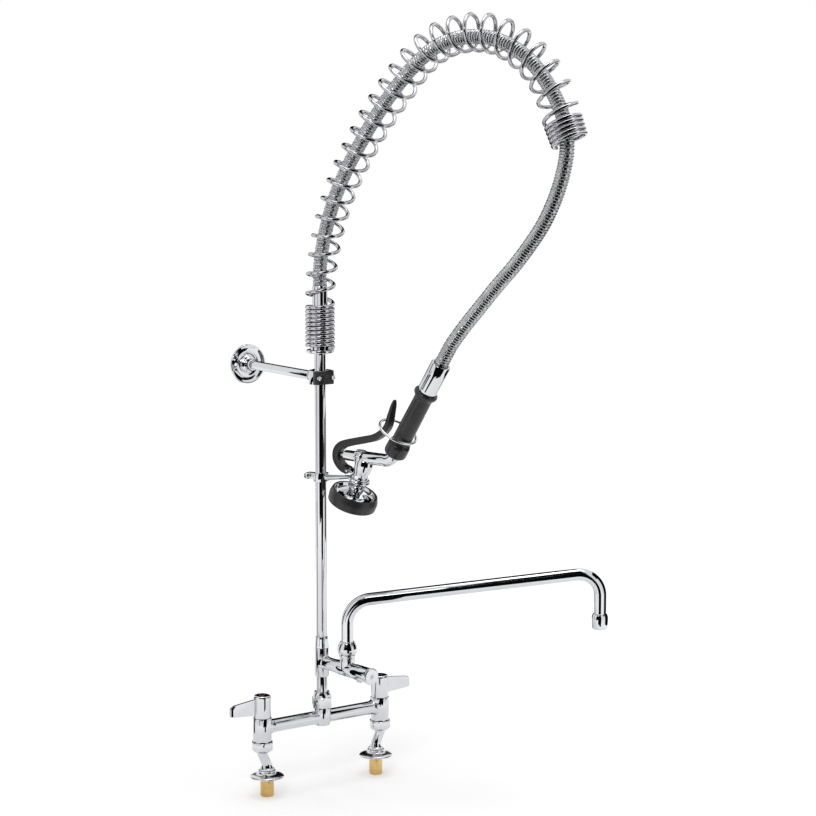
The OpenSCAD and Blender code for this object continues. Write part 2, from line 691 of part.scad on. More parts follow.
module spout_lengths(r) {
    translate([0, 0, socket_z + 1.5]) cylinder(r = r, h = bend_z - socket_z - 1.5);
    translate([bend_r, 0, bend_z]) rotate([90, 0, 0]) rotate([0, 0, 180 - up_turn])
        rotate_extrude(angle = up_turn) translate([bend_r, 0]) circle(r = r);
    translate([run_start.x, 0, run_start.y]) rotate([0, 90 - spout_rise, 0])
        cylinder(r = r, h = norm(drop_start - run_start));
    translate([drop_centre().x, 0, drop_centre().y]) rotate([90, 0, 0])
        rotate_extrude(angle = down_turn) translate([drop_r, 0]) circle(r = r);
    translate([spout_reach, 0, outlet_z + 10]) cylinder(r = r, h = drop_centre().y - outlet_z - 10);
}

ring_groove_z = [socket_z + 5.5, socket_z + 11.5];

module spout_tube() color(chrome) spout_plane() difference() {
    union() {
        spout_path(spout_r);
        translate([0, 0, thread_top + gap]) cylinder(r = 10.6, h = 2);
    }
    spout_path(spout_r - spout_wall);
    translate([0, 0, socket_z]) cylinder(r = spout_r - spout_wall, h = 10);
    translate([spout_reach, 0, outlet_z]) cylinder(r = spout_r - spout_wall, h = 20);
    for (z = ring_groove_z) translate([0, 0, z]) difference() {
        cylinder(r = spout_r + 1, h = 1.8);
        translate([0, 0, -1]) cylinder(r = spout_r - 1.2, h = 4);
    }
}

module spout_o_rings() color("#1c1c1e") spout_plane() for (z = ring_groove_z)
    translate([0, 0, z + 0.9]) rotate_extrude() translate([spout_r - 0.6, 0]) circle(r = 0.55, $fn = 24);

module outlet_shell() color(chrome) spout_plane() translate([spout_reach, 0, outlet_z]) difference() {
    turned([[0, 0], [10.8, 0], [outlet_r - 0.3, 1.6], [outlet_r, 2.4], [outlet_r, outlet_h - 5.5],
        [outlet_r - 0.6, outlet_h - 3.4], [10.4, outlet_h - 0.6], [9.8, outlet_h], [0, outlet_h]]);
    translate([0, 0, 9.8]) cylinder(r = spout_r + fit, h = 30);
    translate([0, 0, -1]) cylinder(r = 9, h = 20);
}

// Straightener in the outlet, with holes for the water
module outlet_insert() color("#8d8f93") spout_plane() translate([spout_reach, 0,
    outlet_z + 1]) difference() {
    cylinder(r = 9 - fit, h = 8);
    for (ring = [1 : 2], i = [0 : 6 * ring - 1])
        rotate([0, 0, 60 * i / ring]) translate([3.1 * ring, 0, -1]) cylinder(r = 0.9, h = 12, $fn = 16);
    translate([0, 0, -1]) cylinder(r = 0.9, h = 12, $fn = 16);
}

// ---------------------------------------------------------------- wall bracket

module wall_axis() translate([0, wall_y, arm_z]) rotate([90, 0, 0]) children();

module wall_flange() color(chrome) wall_axis() difference() {
    turned([[0, 0], [flange_r - 1.2, 0], [flange_r, 1.2], [flange_r, 4.2], [flange_r - 1, 5],
        [flange_r - 2.2, 4.6],
        [flange_r - 6, 3.2], [flange_r - 11, 2.6], [hub_r + 1.5, 3], [hub_r, 4], [hub_r - 0.4, 7.5],
        [hub_r - 3, 9.5],
        [10, 10.4], [9.4, 12.5], [9.4, 21], [8.8, 22], [0, 22]]);
    translate([0, 0, 8]) cylinder(r = arm_r + fit, h = 20);
    for (side = [-1, 1]) translate([side * wall_screw_gap / 2, 0, -1]) cylinder(r = 2.6, h = 12);
}

module wall_arm() color(chrome) wall_axis() {
    translate([0, 0, 8 + fit]) cylinder(r = arm_r, h = wall_y - 8 - fit - 13);
    translate([0, 0, 22 + fit]) cylinder(r = 8.2, h = 4);
}

clamp_bore_r = pipe_r + fit;

// Saddle behind the riser, with an open slot towards the user
module clamp_back() color(chrome) translate([0, 0, arm_z]) difference() {
    union() {
        translate([0, 0, -clamp_h / 2]) linear_extrude(clamp_h)
            polygon([[-clamp_w / 2, split_y + gap], [clamp_w / 2, split_y + gap], [clamp_w / 2, 6],
                [clamp_w / 2 - 4, 10], [11.5, 13.5], [-11.5, 13.5], [4 - clamp_w / 2, 10],
                [-clamp_w / 2, 6]]);
        rotate([-90, 0, 0]) turned([[0, 8], [11.5, 8], [11.5, 15], [10.6, 19], [8.6, 25], [0, 25]]);
    }
    translate([0, 0, -30]) cylinder(r = clamp_bore_r, h = 60);
    translate([-clamp_bore_r, -20, -30]) cube([2 * clamp_bore_r, 20, 60]);
    rotate([-90, 0, 0]) translate([0, 0, 12.9]) cylinder(r = arm_r + fit, h = 20);
    for (side = [-1, 1]) translate([side * clamp_screw_x, split_y - 1, 0]) rotate([-90, 0, 0])
        cylinder(r = 2, h = 16);
}

// Black strap in front of the riser
module clamp_cap() color(black) translate([0, 0, arm_z]) difference() {
    translate([0, 0, 0.5 - clamp_h / 2]) linear_extrude(clamp_h - 1)
        polygon([[-clamp_w / 2, split_y], [-clamp_w / 2, -11], [4 - clamp_w / 2, -cap_front],
            [clamp_w / 2 - 4, -cap_front], [clamp_w / 2, -11], [clamp_w / 2, split_y]]);
    translate([0, 0, -30]) cylinder(r = clamp_bore_r, h = 60);
    for (side = [-1, 1]) translate([side * clamp_screw_x, 1, 0]) rotate([90, 0, 0]) {
        cylinder(r = 2.2, h = 30);
        translate([0, 0, cap_front - 1.5]) cylinder(r = 3.6, h = 10);
    }
}

module clamp_screws() color(chrome) for (side = [-1, 1])
    translate([side * clamp_screw_x, 0, arm_z]) rotate([90, 0, 0]) difference() {
        union() {
            translate([0, 0, -7]) cylinder(r = 1.9, h = cap_front + 6);
            translate([0, 0, cap_front - 2.4]) cylinder(r = 3.4, h = 3.2);
        }
        translate([0, 0, cap_front - 1]) cylinder(r = 1.6, h = 5, $fn = 6);
    }

// ---------------------------------------------------------------- finger hook

hook_collar_r = 12;
hook_collar_h = 13;
ear_end = -25;
ear_slot = 2;

module finger_hook() {
    arm_end = [hook_reach - hook_ring_r * cos(head_lean) - 1.5,
        hang_z + hook_ring_r * sin(head_lean) - 1.8];
    arm_start = [pipe_r + 2, hook_z];
    arm = arm_end - arm_start;
    color(chrome) arch_plane() difference() {
        union() {
            translate([0, 0, hook_z - hook_collar_h / 2]) cylinder(r = hook_collar_r, h = hook_collar_h);
            translate([ear_end, -4.5, hook_z - 5]) cube([-ear_end - 6, 9, 10]);
            translate([ear_end, 4.5, hook_z]) rotate([90, 0, 0]) cylinder(r = 5, h = 9);
            translate([arm_start.x, 0, arm_start.y]) rotate([0, 90 - atan2(arm.y, arm.x), 0])
                cylinder(r1 = 4.2, r2 = 2.9, h = norm(arm));
            translate([hook_reach, 0, hang_z]) rotate([0, head_lean, 0])
                rotate_extrude() translate([hook_ring_r, 0]) circle(r = hook_wire_r, $fn = 32);
        }
        translate([0, 0, hook_z - 20]) cylinder(r = pipe_r + fit, h = 40);
        translate([ear_end - 10, -ear_slot / 2, hook_z - 20]) cube([-ear_end + 4, ear_slot, 40]);
        translate([ear_end, 20, hook_z]) rotate([90, 0, 0]) cylinder(r = 2 + fit, h = 40);
    }
}

module hook_screw() color(chrome) arch_plane() translate([ear_end, 0, hook_z]) rotate([90, 0,
    0]) difference() {
    union() {
        translate([0, 0, -7]) cylinder(r = 2, h = 12);
        translate([0, 0, 4.6]) turned([[0, 0], [4.6, 0], [4.6, 1.6], [3.4, 3.2], [0, 3.4]]);
        translate([0, 0, -7.8]) cylinder(r = 3.9, h = 3.2);
    }
    translate([0, 0, 6.6]) cylinder(r = 1.5, h = 5, $fn = 6);
}

// ---------------------------------------------------------------- spring seat and hose ends

boss_r = coil_foot_d / 2 * cos(180 / curl_rings) - wire_r - 0.5;

module spring_seat() color(chrome) difference() {
    turned([[0, seat_z], [seat_r - 2.2, seat_z], [seat_r - 0.6, seat_z + 0.7], [seat_r, seat_z + 2.2],
        [seat_r, seat_top - 0.8], [seat_r - 0.6, seat_top], [boss_r, seat_top], [boss_r, seat_top + 18],
        [boss_r - 1, seat_top + 19], [0, seat_top + 19]]);
    translate([0, 0, seat_z - 1]) cylinder(r = pipe_r + fit, h = riser_top - seat_z + 1 + fit);
    translate([0, 0, riser_top - 1]) cylinder(r = pipe_bore_r, h = 60);
}

module hose_nut() color(chrome) difference() {
    turned([[0, seat_top + 19 + fit], [11.6, seat_top + 19 + fit], [12.4, seat_top + 21],
        [12.4, hose_nut_top - 34],
        [11.4, hose_nut_top - 32], [11.4, hose_nut_top - 4], [10.8, hose_nut_top], [0, hose_nut_top]]);
    translate([0, 0, seat_top]) cylinder(r = pipe_bore_r, h = hose_nut_top - seat_top + 1);
}

module hose_ferrule() color(chrome) grip_axis() difference() {
    turned([[0, grip_len + fit], [14, grip_len + fit], [14.7, grip_len + 1.5],
        [15, grip_len + ferrule_len - 12],
        [15, grip_len + ferrule_len + 3], [14.2, grip_len + ferrule_len + ferrule_lip],
        [0, grip_len + ferrule_len + ferrule_lip]]);
    translate([0, 0, grip_len - 1]) cylinder(r = hose_bore_r, h = ferrule_len + 9);
    // open lip round the hose
    translate([0, 0, grip_len + ferrule_len - fit]) cylinder(r = hose_r + 1, h = 10);
    // crimp slot along the side that faces the user's left
    translate([-1.2, -16, grip_len + 6]) cube([2.4, 3, ferrule_len - 20]);
    translate([0, -12, grip_len + ferrule_len - 14]) rotate([90, 0, 0]) cylinder(r = 2, h = 10);
}

// ---------------------------------------------------------------- spray valve

module grip() color(black) grip_axis() difference() {
    turned([[0, 0.2], [13.4, 0.2], [15.8, 1.8], [17.2, 5], [17.5, 10], [17.3, 18], [16.6, 22.5],
        [14.9, 26.5],
        [14.4, 29.5], [14.4, 36], [14.1, 70], [13.8, grip_len - 13], [14, grip_len - 10],
        [15.8, grip_len - 7.5], [18, grip_len - 5.5], [18.3, grip_len - 3], [17.4, grip_len - 0.8],
        [15.4, grip_len], [0, grip_len]]);
    translate([0, 0, -1]) cylinder(r = grip_bore_r, h = grip_len + 2);
}

module grip_tube() color(brass) grip_axis() tube(grip_bore_r - fit, 6, fit, grip_len);

module valve_body() color(chrome) difference() {
    union() {
        run_axis() translate([0, 0, bonnet_nut[1] + fit]) cylinder(r = run_r,
            h = run_end - bonnet_nut[1] - fit);
        run_axis() translate([0, 0, bonnet_nut[0] + 3]) cylinder(r = 8.2, h = 12);
        at_hook() translate([run_end, 0, run_rise + elbow_r]) rotate([90, 0, 0]) rotate([0, 0, -90])
            rotate_extrude(angle = 90 - grip_lean) translate([elbow_r, 0]) circle(r = run_r);
        difference() {
            head_axis() turned([[0, dish_back + 10], [neck_r, dish_back + 10], [neck_r, 3.3], [12.6, 3.3],
                [13, 3.8], [13, 6], [12.4, 6.6], [10.4, 8], [11, 12], [13.4, 20], [13.8, 29], [12, 35],
                [8, 39.5], [0, 41]]);
            // room for the bonnet's nut
            run_axis() translate([0, 0, bonnet_nut[0] - 30])
                cylinder(r = bonnet_nut_r + gap, h = bonnet_nut[1] - bonnet_nut[0] + 30 + fit);
        }
        at_hook() {
            translate([pivot.x, lug_t / 2, pivot.y]) rotate([90, 0, 0]) cylinder(r = 4.6, h = lug_t);
            translate([pivot.x, -lug_t / 2, pivot.y]) rotate([0, -4, 0]) translate([0, 0, -3.4])
                cube([24, lug_t, 7.6]);
        }
    }
    run_axis() {
        translate([0, 0, bonnet_nut[0]]) cylinder(r = 6.3, h = valve_seat[0] - bonnet_nut[0]);
        translate([0, 0, bonnet_nut[0]]) cylinder(r = 4.2, h = 40);
        translate([0, 0, valve_seat[1]]) cylinder(r = 6.3, h = run_end - 2 - valve_seat[1]);
        translate([0, 0, valve_seat[1]]) cylinder(r = 5, h = run_end - valve_seat[1] + 0.5);
    }
    at_hook() translate([run_end, 0, run_rise + elbow_r]) rotate([90, 0, 0]) rotate([0, 0, -90])
        rotate_extrude(angle = 90 - grip_lean) translate([elbow_r, 0]) circle(r = 4.8);
    grip_axis() translate([0, 0, -0.5]) cylinder(r = 5, h = 2);
    head_axis() translate([0, 0, dish_back]) cylinder(r = 4.8, h = 58);
    at_hook() translate([pivot.x, 20, pivot.y]) rotate([90, 0, 0]) cylinder(r = pin_r + fit / 2, h = 40);
}

module valve_bonnet() color(chrome) run_axis() difference() {
    union() {
        translate([0, 0, bonnet_end]) cylinder(r = bonnet_r, h = bonnet_nut[1] - bonnet_end);
        translate([0, 0, bonnet_nut[0]]) cylinder(r = bonnet_nut_r, h = bonnet_nut[1] - bonnet_nut[0]);
    }
    translate([0, 0, bonnet_end - 1]) cylinder(r = push_r + run, h = 60);
    translate([0, 0, bonnet_nut[0] + 3 - fit]) cylinder(r = 8.2 + fit, h = 40);
    // flats of the nut, as a ring of flutes
    for (i = [0 : 11]) rotate([0, 0, 30 * i]) translate([bonnet_nut_r + 1, 0, bonnet_nut[0] - 1])
        cylinder(r = 1.7, h = 30, $fn = 24);
}

washer_z = valve_seat[1] + fit;

module valve_stem() color(chrome) run_axis() {
    translate([0, 0, push_tip]) cylinder(r = push_r, h = washer_z - push_tip);
    translate([0, 0, push_tip]) turned([[0, 0], [2.4, 0], [3.9, 1.2], [4.2, 2.6], [4.2, 4], [3.05, 5],
        [0, 5]]);
    translate([0, 0, washer_z]) cylinder(r = 5.6, h = 3);
}

lever_line = smooth(lever_route, 4);
lever_n = len(lever_line);
function lever_normal(i) = let (d = unit(lever_line[min(i + 1, lever_n - 1)] - lever_line[max(i - 1, 0)]))
    [-d.y, d.x];
function lever_side(sign) = [for (i = [0 : lever_n - 1])
    lever_line[i] + sign * lookup(i / 4, lever_half_t) * lever_normal(i)];

module squeeze_lever() color(black) at_hook() difference() {
    union() {
        rotate([90, 0, 0]) linear_extrude(lever_w, center = true)
            polygon(concat(lever_side(1), [for (i = [lever_n - 1 : -1 : 0]) lever_side(-1)[i]]));
        translate([pivot.x, lever_w / 2, pivot.y]) rotate([90, 0, 0]) cylinder(r = lever_half_t[0].y,
            h = lever_w);
        translate([lever_line[lever_n - 1].x, lever_w / 2, lever_line[lever_n - 1].y]) rotate([90, 0, 0])
            cylinder(r = 1.4, h = lever_w);
    }
    // fork round the lug
    translate([pivot.x - 7, -lug_t / 2 - gap, pivot.y - 9]) cube([20, lug_t + 2 * gap, 17]);
    translate([pivot.x, 20, pivot.y]) rotate([90, 0, 0]) cylinder(r = pin_r + run, h = 40);
}

module lever_pin() color(chrome) at_hook() translate([pivot.x, lever_w / 2 + 0.5, pivot.y]) rotate([90, 0,
    0])
    cylinder(r = pin_r, h = lever_w + 1);

module hold_ring() color(chrome) grip_axis() translate([-ring_offset, 0, ring_at])
    rotate_extrude() translate([ring_r, 0]) circle(r = ring_wire_r, $fn = 24);

// Chrome cup of the spray head: hub, open bowl and the skirt inside the bumper
module spray_dish() color(chrome) head_axis() difference() {
    turned([[0, dish_back + 9.8], [10.5, dish_back + 9.8], [11.4, dish_back + 8.6], [11.4, dish_back + 2],
        [12.4, dish_back - 4], [16, dish_back - 7.6], [22, dish_back - 8.4], [27.5, dish_back - 6.2],
        [30.6, dish_back - 2.4], [31.6, dish_back - 0.5], [rim_r, dish_back - 0.5], [rim_r, dish_back - 3],
        [dish_r, dish_back - 7], [dish_r, dish_front + 2.2], [dish_r - 1.8, dish_front + 2.2],
        [dish_r - 1.8, dish_back - 9.8], [0, dish_back - 10.6]]);
    translate([0, 0, dish_back - 12]) cylinder(r = 4.8, h = 40);
}

module spray_face() color("#9a9ca0") head_axis() difference() {
    translate([0, 0, dish_front]) cylinder(r = dish_r, h = 2.1);
    for (ring = [1 : 3], i = [0 : 6 * ring - 1])
        rotate([0, 0, 60 * i / ring]) translate([7.2 * ring, 0, dish_front - 1]) cylinder(r = 1.1, h = 5,
            $fn = 16);
}

module bumper_ring() color(black) head_axis()
    turned([[rim_r + fit, dish_back - 0.2], [rim_r + 1.2, dish_back + 0.2], [rim_r + 2.2, dish_back - 0.4],
        [bumper_r - 1.4, dish_back - 3.4], [bumper_r - 0.4, dish_back - 7.5], [bumper_r, dish_back - 11],
        [bumper_r - 0.4, dish_back - 14.6], [bumper_r - 0.8, dish_back - 18], [bumper_r - 2.4, dish_back - 21],
        [bumper_r - 5, dish_back - 22], [27.5, dish_back - 22], [27.5, dish_front - fit],
        [dish_r + fit, dish_front - fit], [dish_r + fit, dish_back - 7 - fit],
        [rim_r + fit, dish_back - 3 - fit]]);

// ---------------------------------------------------------------- nodes

bridge_body();
cartridge(-1);  // cartridge_hot
cartridge(1);  // cartridge_cold
stem(-1);  // stem_hot
stem(1);  // stem_cold
handle(-1);  // handle_hot
handle(1);  // handle_cold
handle_screw(-1);  // handle_screw_hot
handle_screw(1);  // handle_screw_cold
index_button(-1);  // index_hot
index_button(1);  // index_cold
coupling_nut(-1);  // coupling_nut_left
coupling_nut(1);  // coupling_nut_right
leg_seals();
offset_leg(-1);  // offset_leg_left
offset_leg(1);  // offset_leg_right
escutcheon(-1);  // escutcheon_left
escutcheon(1);  // escutcheon_right
inlet_shank(-1);  // inlet_shank_left
inlet_shank(1);  // inlet_shank_right
union_nut();
union_seal();
short_nipple();
addon_tee();
addon_body();
addon_cartridge();
addon_stem();
addon_knob();
addon_cap();
addon_screw();
riser_collar();
riser_pipe();
spout_nut();
spout_tube();
spout_o_rings();
outlet_shell();
outlet_insert();
wall_flange();
wall_arm();
clamp_back();
clamp_cap();
clamp_screws();
finger_hook();
hook_screw();
spring_seat();
overhead_spring();
hose_nut();
hose();
hose_ferrule();
grip();
grip_tube();
valve_body();
valve_bonnet();
valve_stem();
squeeze_lever();
lever_pin();
hold_ring();
spray_dish();
spray_face();
bumper_ring();
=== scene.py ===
# %% [markdown]
# # Pre rinse faucet
# A pre rinse faucet stands behind a dish sink. Two valves feed a bridge, a tall riser climbs from it,
# and a spring holds the hose up in an arch, so that the spray valve hangs in its hook at the front.
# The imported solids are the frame: every piece made here sits where those solids say.

# %% Load the frame
import json
import math

import bmesh
import bpy
from mathutils import Matrix, Vector


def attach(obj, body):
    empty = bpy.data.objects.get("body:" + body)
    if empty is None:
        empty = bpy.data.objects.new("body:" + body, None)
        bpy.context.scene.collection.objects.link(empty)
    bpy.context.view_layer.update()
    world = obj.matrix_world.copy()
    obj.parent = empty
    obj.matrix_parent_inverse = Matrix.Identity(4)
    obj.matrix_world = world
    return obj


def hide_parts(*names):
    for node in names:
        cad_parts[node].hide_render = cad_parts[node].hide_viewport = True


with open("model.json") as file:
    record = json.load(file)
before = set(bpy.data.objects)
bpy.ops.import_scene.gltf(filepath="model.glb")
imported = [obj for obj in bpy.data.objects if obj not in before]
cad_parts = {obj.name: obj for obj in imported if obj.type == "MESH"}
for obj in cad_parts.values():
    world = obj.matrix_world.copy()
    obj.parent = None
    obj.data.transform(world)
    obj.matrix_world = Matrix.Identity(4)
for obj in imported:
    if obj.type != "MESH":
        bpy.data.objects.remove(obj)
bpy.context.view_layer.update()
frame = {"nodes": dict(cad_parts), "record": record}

nodes = frame["nodes"]
print("solids in the frame:", len(nodes))

# %% [markdown]
# ## Sizes
# The drawing of the solids is in millimetres, and Blender works in metres here. One factor turns every
# size into metres, so a number below can be read as a real size with a ruler in mind.

# %% Main places of the faucet, in millimetres
MM = 0.001
VALVE_X = 109.6
DECK_DROP = 30.0
HUB_Z = 95.0
HUB_H = 35.4
BRANCH_TURN = 4.0
BRANCH_Z = 167.0
SWING_REACH = 65.0
SPOUT_TURN = 54.0
LOOP_TURN = 15.0
HOOK_REACH = 77.7
HANG_Z = 461.0
VALVE_SHIFT = 2.6
HEAD_LEAN = 22.0
GRIP_LEAN = 32.2
print("valve centres", 2 * VALVE_X, "mm apart")

# %% [markdown]
# ## Camera
# The photograph looks down a little from the front left, with a long lens. The camera is made first,
# because the hose and the spring are judged through it.

# %% Camera
VIEW_YAW = 35.39
VIEW_PITCH = 7.75
LENS = 103.58
FAR_CLIP = 40.0
camera_data = bpy.data.cameras.new("camera")
camera_data.sensor_width = 36.0
camera_data.lens = LENS
camera_data.clip_end = FAR_CLIP
camera = bpy.data.objects.new("camera", camera_data)
camera.location = (-1.9552, -2.9839, 1.0499)
camera.rotation_euler = (math.radians(90.0 - VIEW_PITCH), 0.0, math.radians(-VIEW_YAW))
bpy.context.scene.collection.objects.link(camera)
bpy.context.scene.camera = camera
print("camera at", [round(c, 3) for c in camera.location])

# %% [markdown]
# ## Places on the object
# Each group of pieces has an axis of its own: the arch stands in one upright plane, the grip leans in it,
# and the spout turns about its post on the branch. A matrix for each axis lets every piece be modelled
# upright round Z at zero and then be moved into place in one step.


# %% Matrices of the axes
def turn(axis, degrees):
    return Matrix.Rotation(math.radians(degrees), 4, axis)


def shift(x, y, z):
    return Matrix.Translation((x, y, z))


ARCH = turn("Z", LOOP_TURN - 90.0)
VALVE = ARCH @ shift(HOOK_REACH + VALVE_SHIFT, 0, HANG_Z)
HEAD = ARCH @ shift(HOOK_REACH, 0, HANG_Z) @ turn("Y", HEAD_LEAN)
RUN_RISE = 36.0
RUN_END = 49.7
ELBOW_R = 20.0
grip_x = RUN_END + ELBOW_R * math.sin(math.radians(90 - GRIP_LEAN))
grip_z = RUN_RISE + ELBOW_R * (1 - math.cos(math.radians(90 - GRIP_LEAN)))
GRIP = VALVE @ shift(grip_x, 0, grip_z) @ turn("Y", GRIP_LEAN)
SWING = turn("Z", BRANCH_TURN - 90) @ shift(SWING_REACH, 0, 0)
SPOUT = SWING @ turn("Z", SPOUT_TURN - BRANCH_TURN)
print("grip starts at", [round(c, 1) for c in GRIP.translation])

# %% [markdown]
# ## Finishes
# Nearly everything is polished chrome plating over brass. Chrome has no colour of its own: it is a
# metal shader with a very low roughness, and what it mirrors gives it its look. A weak, slow noise in
# the roughness and a trace of bump keep the plating from looking like a computer's mirror. The two
# escutcheons on the deck are a little duller than the rest, as wiped plates are.


# %% Helpers for the node materials
def new_finish(name):
    mat = bpy.data.materials.new(name)
    mat.use_nodes = True
    shader = mat.node_tree.nodes["Principled BSDF"]
    return mat, mat.node_tree, shader


def object_noise(tree, scale, detail=3.0):
    place = tree.nodes.new("ShaderNodeTexCoord")
    noise = tree.nodes.new("ShaderNodeTexNoise")
    noise.inputs["Scale"].default_value = scale
    noise.inputs["Detail"].default_value = detail
    tree.links.new(place.outputs["Object"], noise.inputs["Vector"])
    return noise.outputs["Fac"]


def spread(tree, source, low, high):
    span = tree.nodes.new("ShaderNodeMapRange")
    span.inputs["From Min"].default_value = 0.3
    span.inputs["From Max"].default_value = 0.7
    span.inputs["To Min"].default_value = low
    span.inputs["To Max"].default_value = high
    tree.links.new(source, span.inputs["Value"])
    return span.outputs["Result"]


def colour_between(tree, source, dark, light):
    ramp = tree.nodes.new("ShaderNodeValToRGB")
    ramp.color_ramp.elements[0].position = 0.3
    ramp.color_ramp.elements[0].color = (*dark, 1.0)
    ramp.color_ramp.elements[1].position = 0.7
    ramp.color_ramp.elements[1].color = (*light, 1.0)
    tree.links.new(source, ramp.inputs["Fac"])
    return ramp.outputs["Color"]


def add_bump(tree, shader, source, strength, distance):
    bump = tree.nodes.new("ShaderNodeBump")
    bump.inputs["Strength"].default_value = strength
    bump.inputs["Distance"].default_value = distance
    tree.links.new(source, bump.inputs["Height"])
    tree.links.new(bump.outputs["Normal"], shader.inputs["Normal"])


# %% [markdown]
# One function makes all the metals. It takes the darkest and the lightest colour, the smallest and the
# largest roughness, the size of the clouds in them, and how deep the faint dents are. Plated tube, cast
# pieces, spring wire, hose steel and bare brass then differ by a few numbers only.


# %% Polished metals
DENT_SCALE = 30.0
DENT_HEIGHT = 0.0004


def polished_metal(name, dark, light, rough_low, rough_high, grain=9.0, dents=0.02):
    mat, tree, shader = new_finish(name)
    shader.inputs["Metallic"].default_value = 1.0
    cloud = object_noise(tree, grain)
    tree.links.new(colour_between(tree, cloud, dark, light), shader.inputs["Base Color"])
    tree.links.new(spread(tree, cloud, rough_low, rough_high), shader.inputs["Roughness"])
    add_bump(tree, shader, object_noise(tree, DENT_SCALE, 1.0), dents, DENT_HEIGHT)
    return mat


chrome = polished_metal("polished_chrome", (0.62, 0.63, 0.65), (0.69, 0.70, 0.72),
                        0.03, 0.06, dents=0.02)
cast_chrome = polished_metal("cast_chrome", (0.60, 0.61, 0.63), (0.67, 0.68, 0.70),
                             0.04, 0.07, dents=0.02)
worn_chrome = polished_metal("worn_chrome", (0.66, 0.67, 0.69), (0.72, 0.73, 0.75),
                             0.16, 0.22, dents=0.02)
spring_wire = polished_metal("spring_wire", (0.46, 0.46, 0.49), (0.57, 0.57, 0.60),
                             0.04, 0.09, 40.0, 0.02)
hose_steel = polished_metal("ribbed_hose_steel", (0.42, 0.43, 0.44), (0.56, 0.57, 0.58),
                            0.12, 0.22, 60.0, 0.03)
raw_brass = polished_metal("raw_brass", (0.55, 0.36, 0.12), (0.73, 0.52, 0.21),
                           0.2, 0.32, 60.0, 0.05)
face_steel = polished_metal("spray_face_steel", (0.45, 0.46, 0.47), (0.56, 0.57, 0.58),
                            0.25, 0.35, 80.0, 0.05)
print("metals:", chrome.name, spring_wire.name, hose_steel.name, raw_brass.name)

# %% [markdown]
# The black pieces differ: the bumper is a soft rubber with a dull, slightly greyed skin, the grip is a
# smooth dipped plastic with a soft sheen, and the lever and the clamp cap are a harder plastic with a
# finer grain. Each gets its own roughness and bump. The two index buttons have a thin clear coat too.


# %% Rubbers and plastics
CLOUD_SCALE = 24.0
GRAIN_HEIGHT = 0.0003
COAT_ROUGHNESS = 0.12


def black_skin(name, dark, light, rough_low, rough_high, grain, depth, coat=0.0):
    mat, tree, shader = new_finish(name)
    fine = object_noise(tree, grain, 4.0)
    cloud = object_noise(tree, CLOUD_SCALE)
    tree.links.new(colour_between(tree, cloud, dark, light), shader.inputs["Base Color"])
    tree.links.new(spread(tree, fine, rough_low, rough_high), shader.inputs["Roughness"])
    shader.inputs["Specular IOR Level"].default_value = 0.5
    shader.inputs["Coat Weight"].default_value = coat
    shader.inputs["Coat Roughness"].default_value = COAT_ROUGHNESS
    add_bump(tree, shader, fine, depth, GRAIN_HEIGHT)
    return mat


bumper_rubber = black_skin("bumper_rubber", (0.012, 0.012, 0.013), (0.022, 0.022, 0.023),
                           0.34, 0.5, 900.0, 0.12)
grip_plastic = black_skin("grip_plastic", (0.011, 0.011, 0.012), (0.02, 0.02, 0.022),
                          0.22, 0.32, 700.0, 0.06)
lever_plastic = black_skin("lever_plastic", (0.010, 0.010, 0.011), (0.018, 0.018, 0.019),
                           0.26, 0.38, 1100.0, 0.1)
seal_rubber = black_skin("seal_rubber", (0.015, 0.015, 0.016), (0.028, 0.028, 0.03),
                         0.5, 0.62, 900.0, 0.1)
index_red = black_skin("hot_index", (0.14, 0.008, 0.008), (0.22, 0.015, 0.012),
                       0.12, 0.2, 500.0, 0.02, 0.5)
index_dark = black_skin("cold_index", (0.006, 0.007, 0.014), (0.012, 0.014, 0.03),
                        0.12, 0.2, 500.0, 0.02, 0.5)

FINISH_OF_SLOT = {
    "chrome": chrome, "brass": raw_brass, "braided_steel": hose_steel, "spring_steel": spring_wire,
    "steel_face": face_steel, "black_rubber": seal_rubber, "black_grip": grip_plastic,
    "black_plastic": lever_plastic, "index_red": index_red, "index_dark": index_dark,
}
print("finishes:", len(bpy.data.materials))

# %% [markdown]
# ## The solids that stay
# Many solids already have the right shape. Their meshes are loose triangles, so a Weld modifier joins
# them, a small Bevel rounds the edges that a polished casting never has sharp, and smooth shading
# makes the turned faces round.


# %% Dress the solids
SOFT_EDGE = 0.35
EDGE_ANGLE = 32.0
WELD_REACH = 0.00001
slot_of = {s["node"]: s["material_slot"] for s in frame["record"]["subparts"]}


def dress(name, edge=SOFT_EDGE, finish=None):
    obj = nodes[name]
    obj.data.materials.clear()
    obj.data.materials.append(finish or FINISH_OF_SLOT[slot_of[name]])
    obj.data.shade_smooth()
    weld = obj.modifiers.new("weld", "WELD")
    weld.merge_threshold = WELD_REACH
    bevel = obj.modifiers.new("soft_edges", "BEVEL")
    bevel.width = edge * MM
    bevel.segments = 2
    bevel.limit_method = "ANGLE"
    bevel.angle_limit = math.radians(EDGE_ANGLE)
    bevel.harden_normals = True
    return obj


CAST = ["bridge_body", "offset_leg_left", "offset_leg_right", "addon_body", "addon_tee", "valve_body",
        "finger_hook", "clamp_back"]
WORN = ["escutcheon_left", "escutcheon_right"]
FINISH_OF_NODE = {**dict.fromkeys(CAST, cast_chrome), **dict.fromkeys(WORN, worn_chrome)}
EDGES = {"valve_bonnet": 0.1}
for name in sorted(nodes):
    dress(name, EDGES.get(name, SOFT_EDGE), FINISH_OF_NODE.get(name))
print("dressed", len(nodes), "solids")
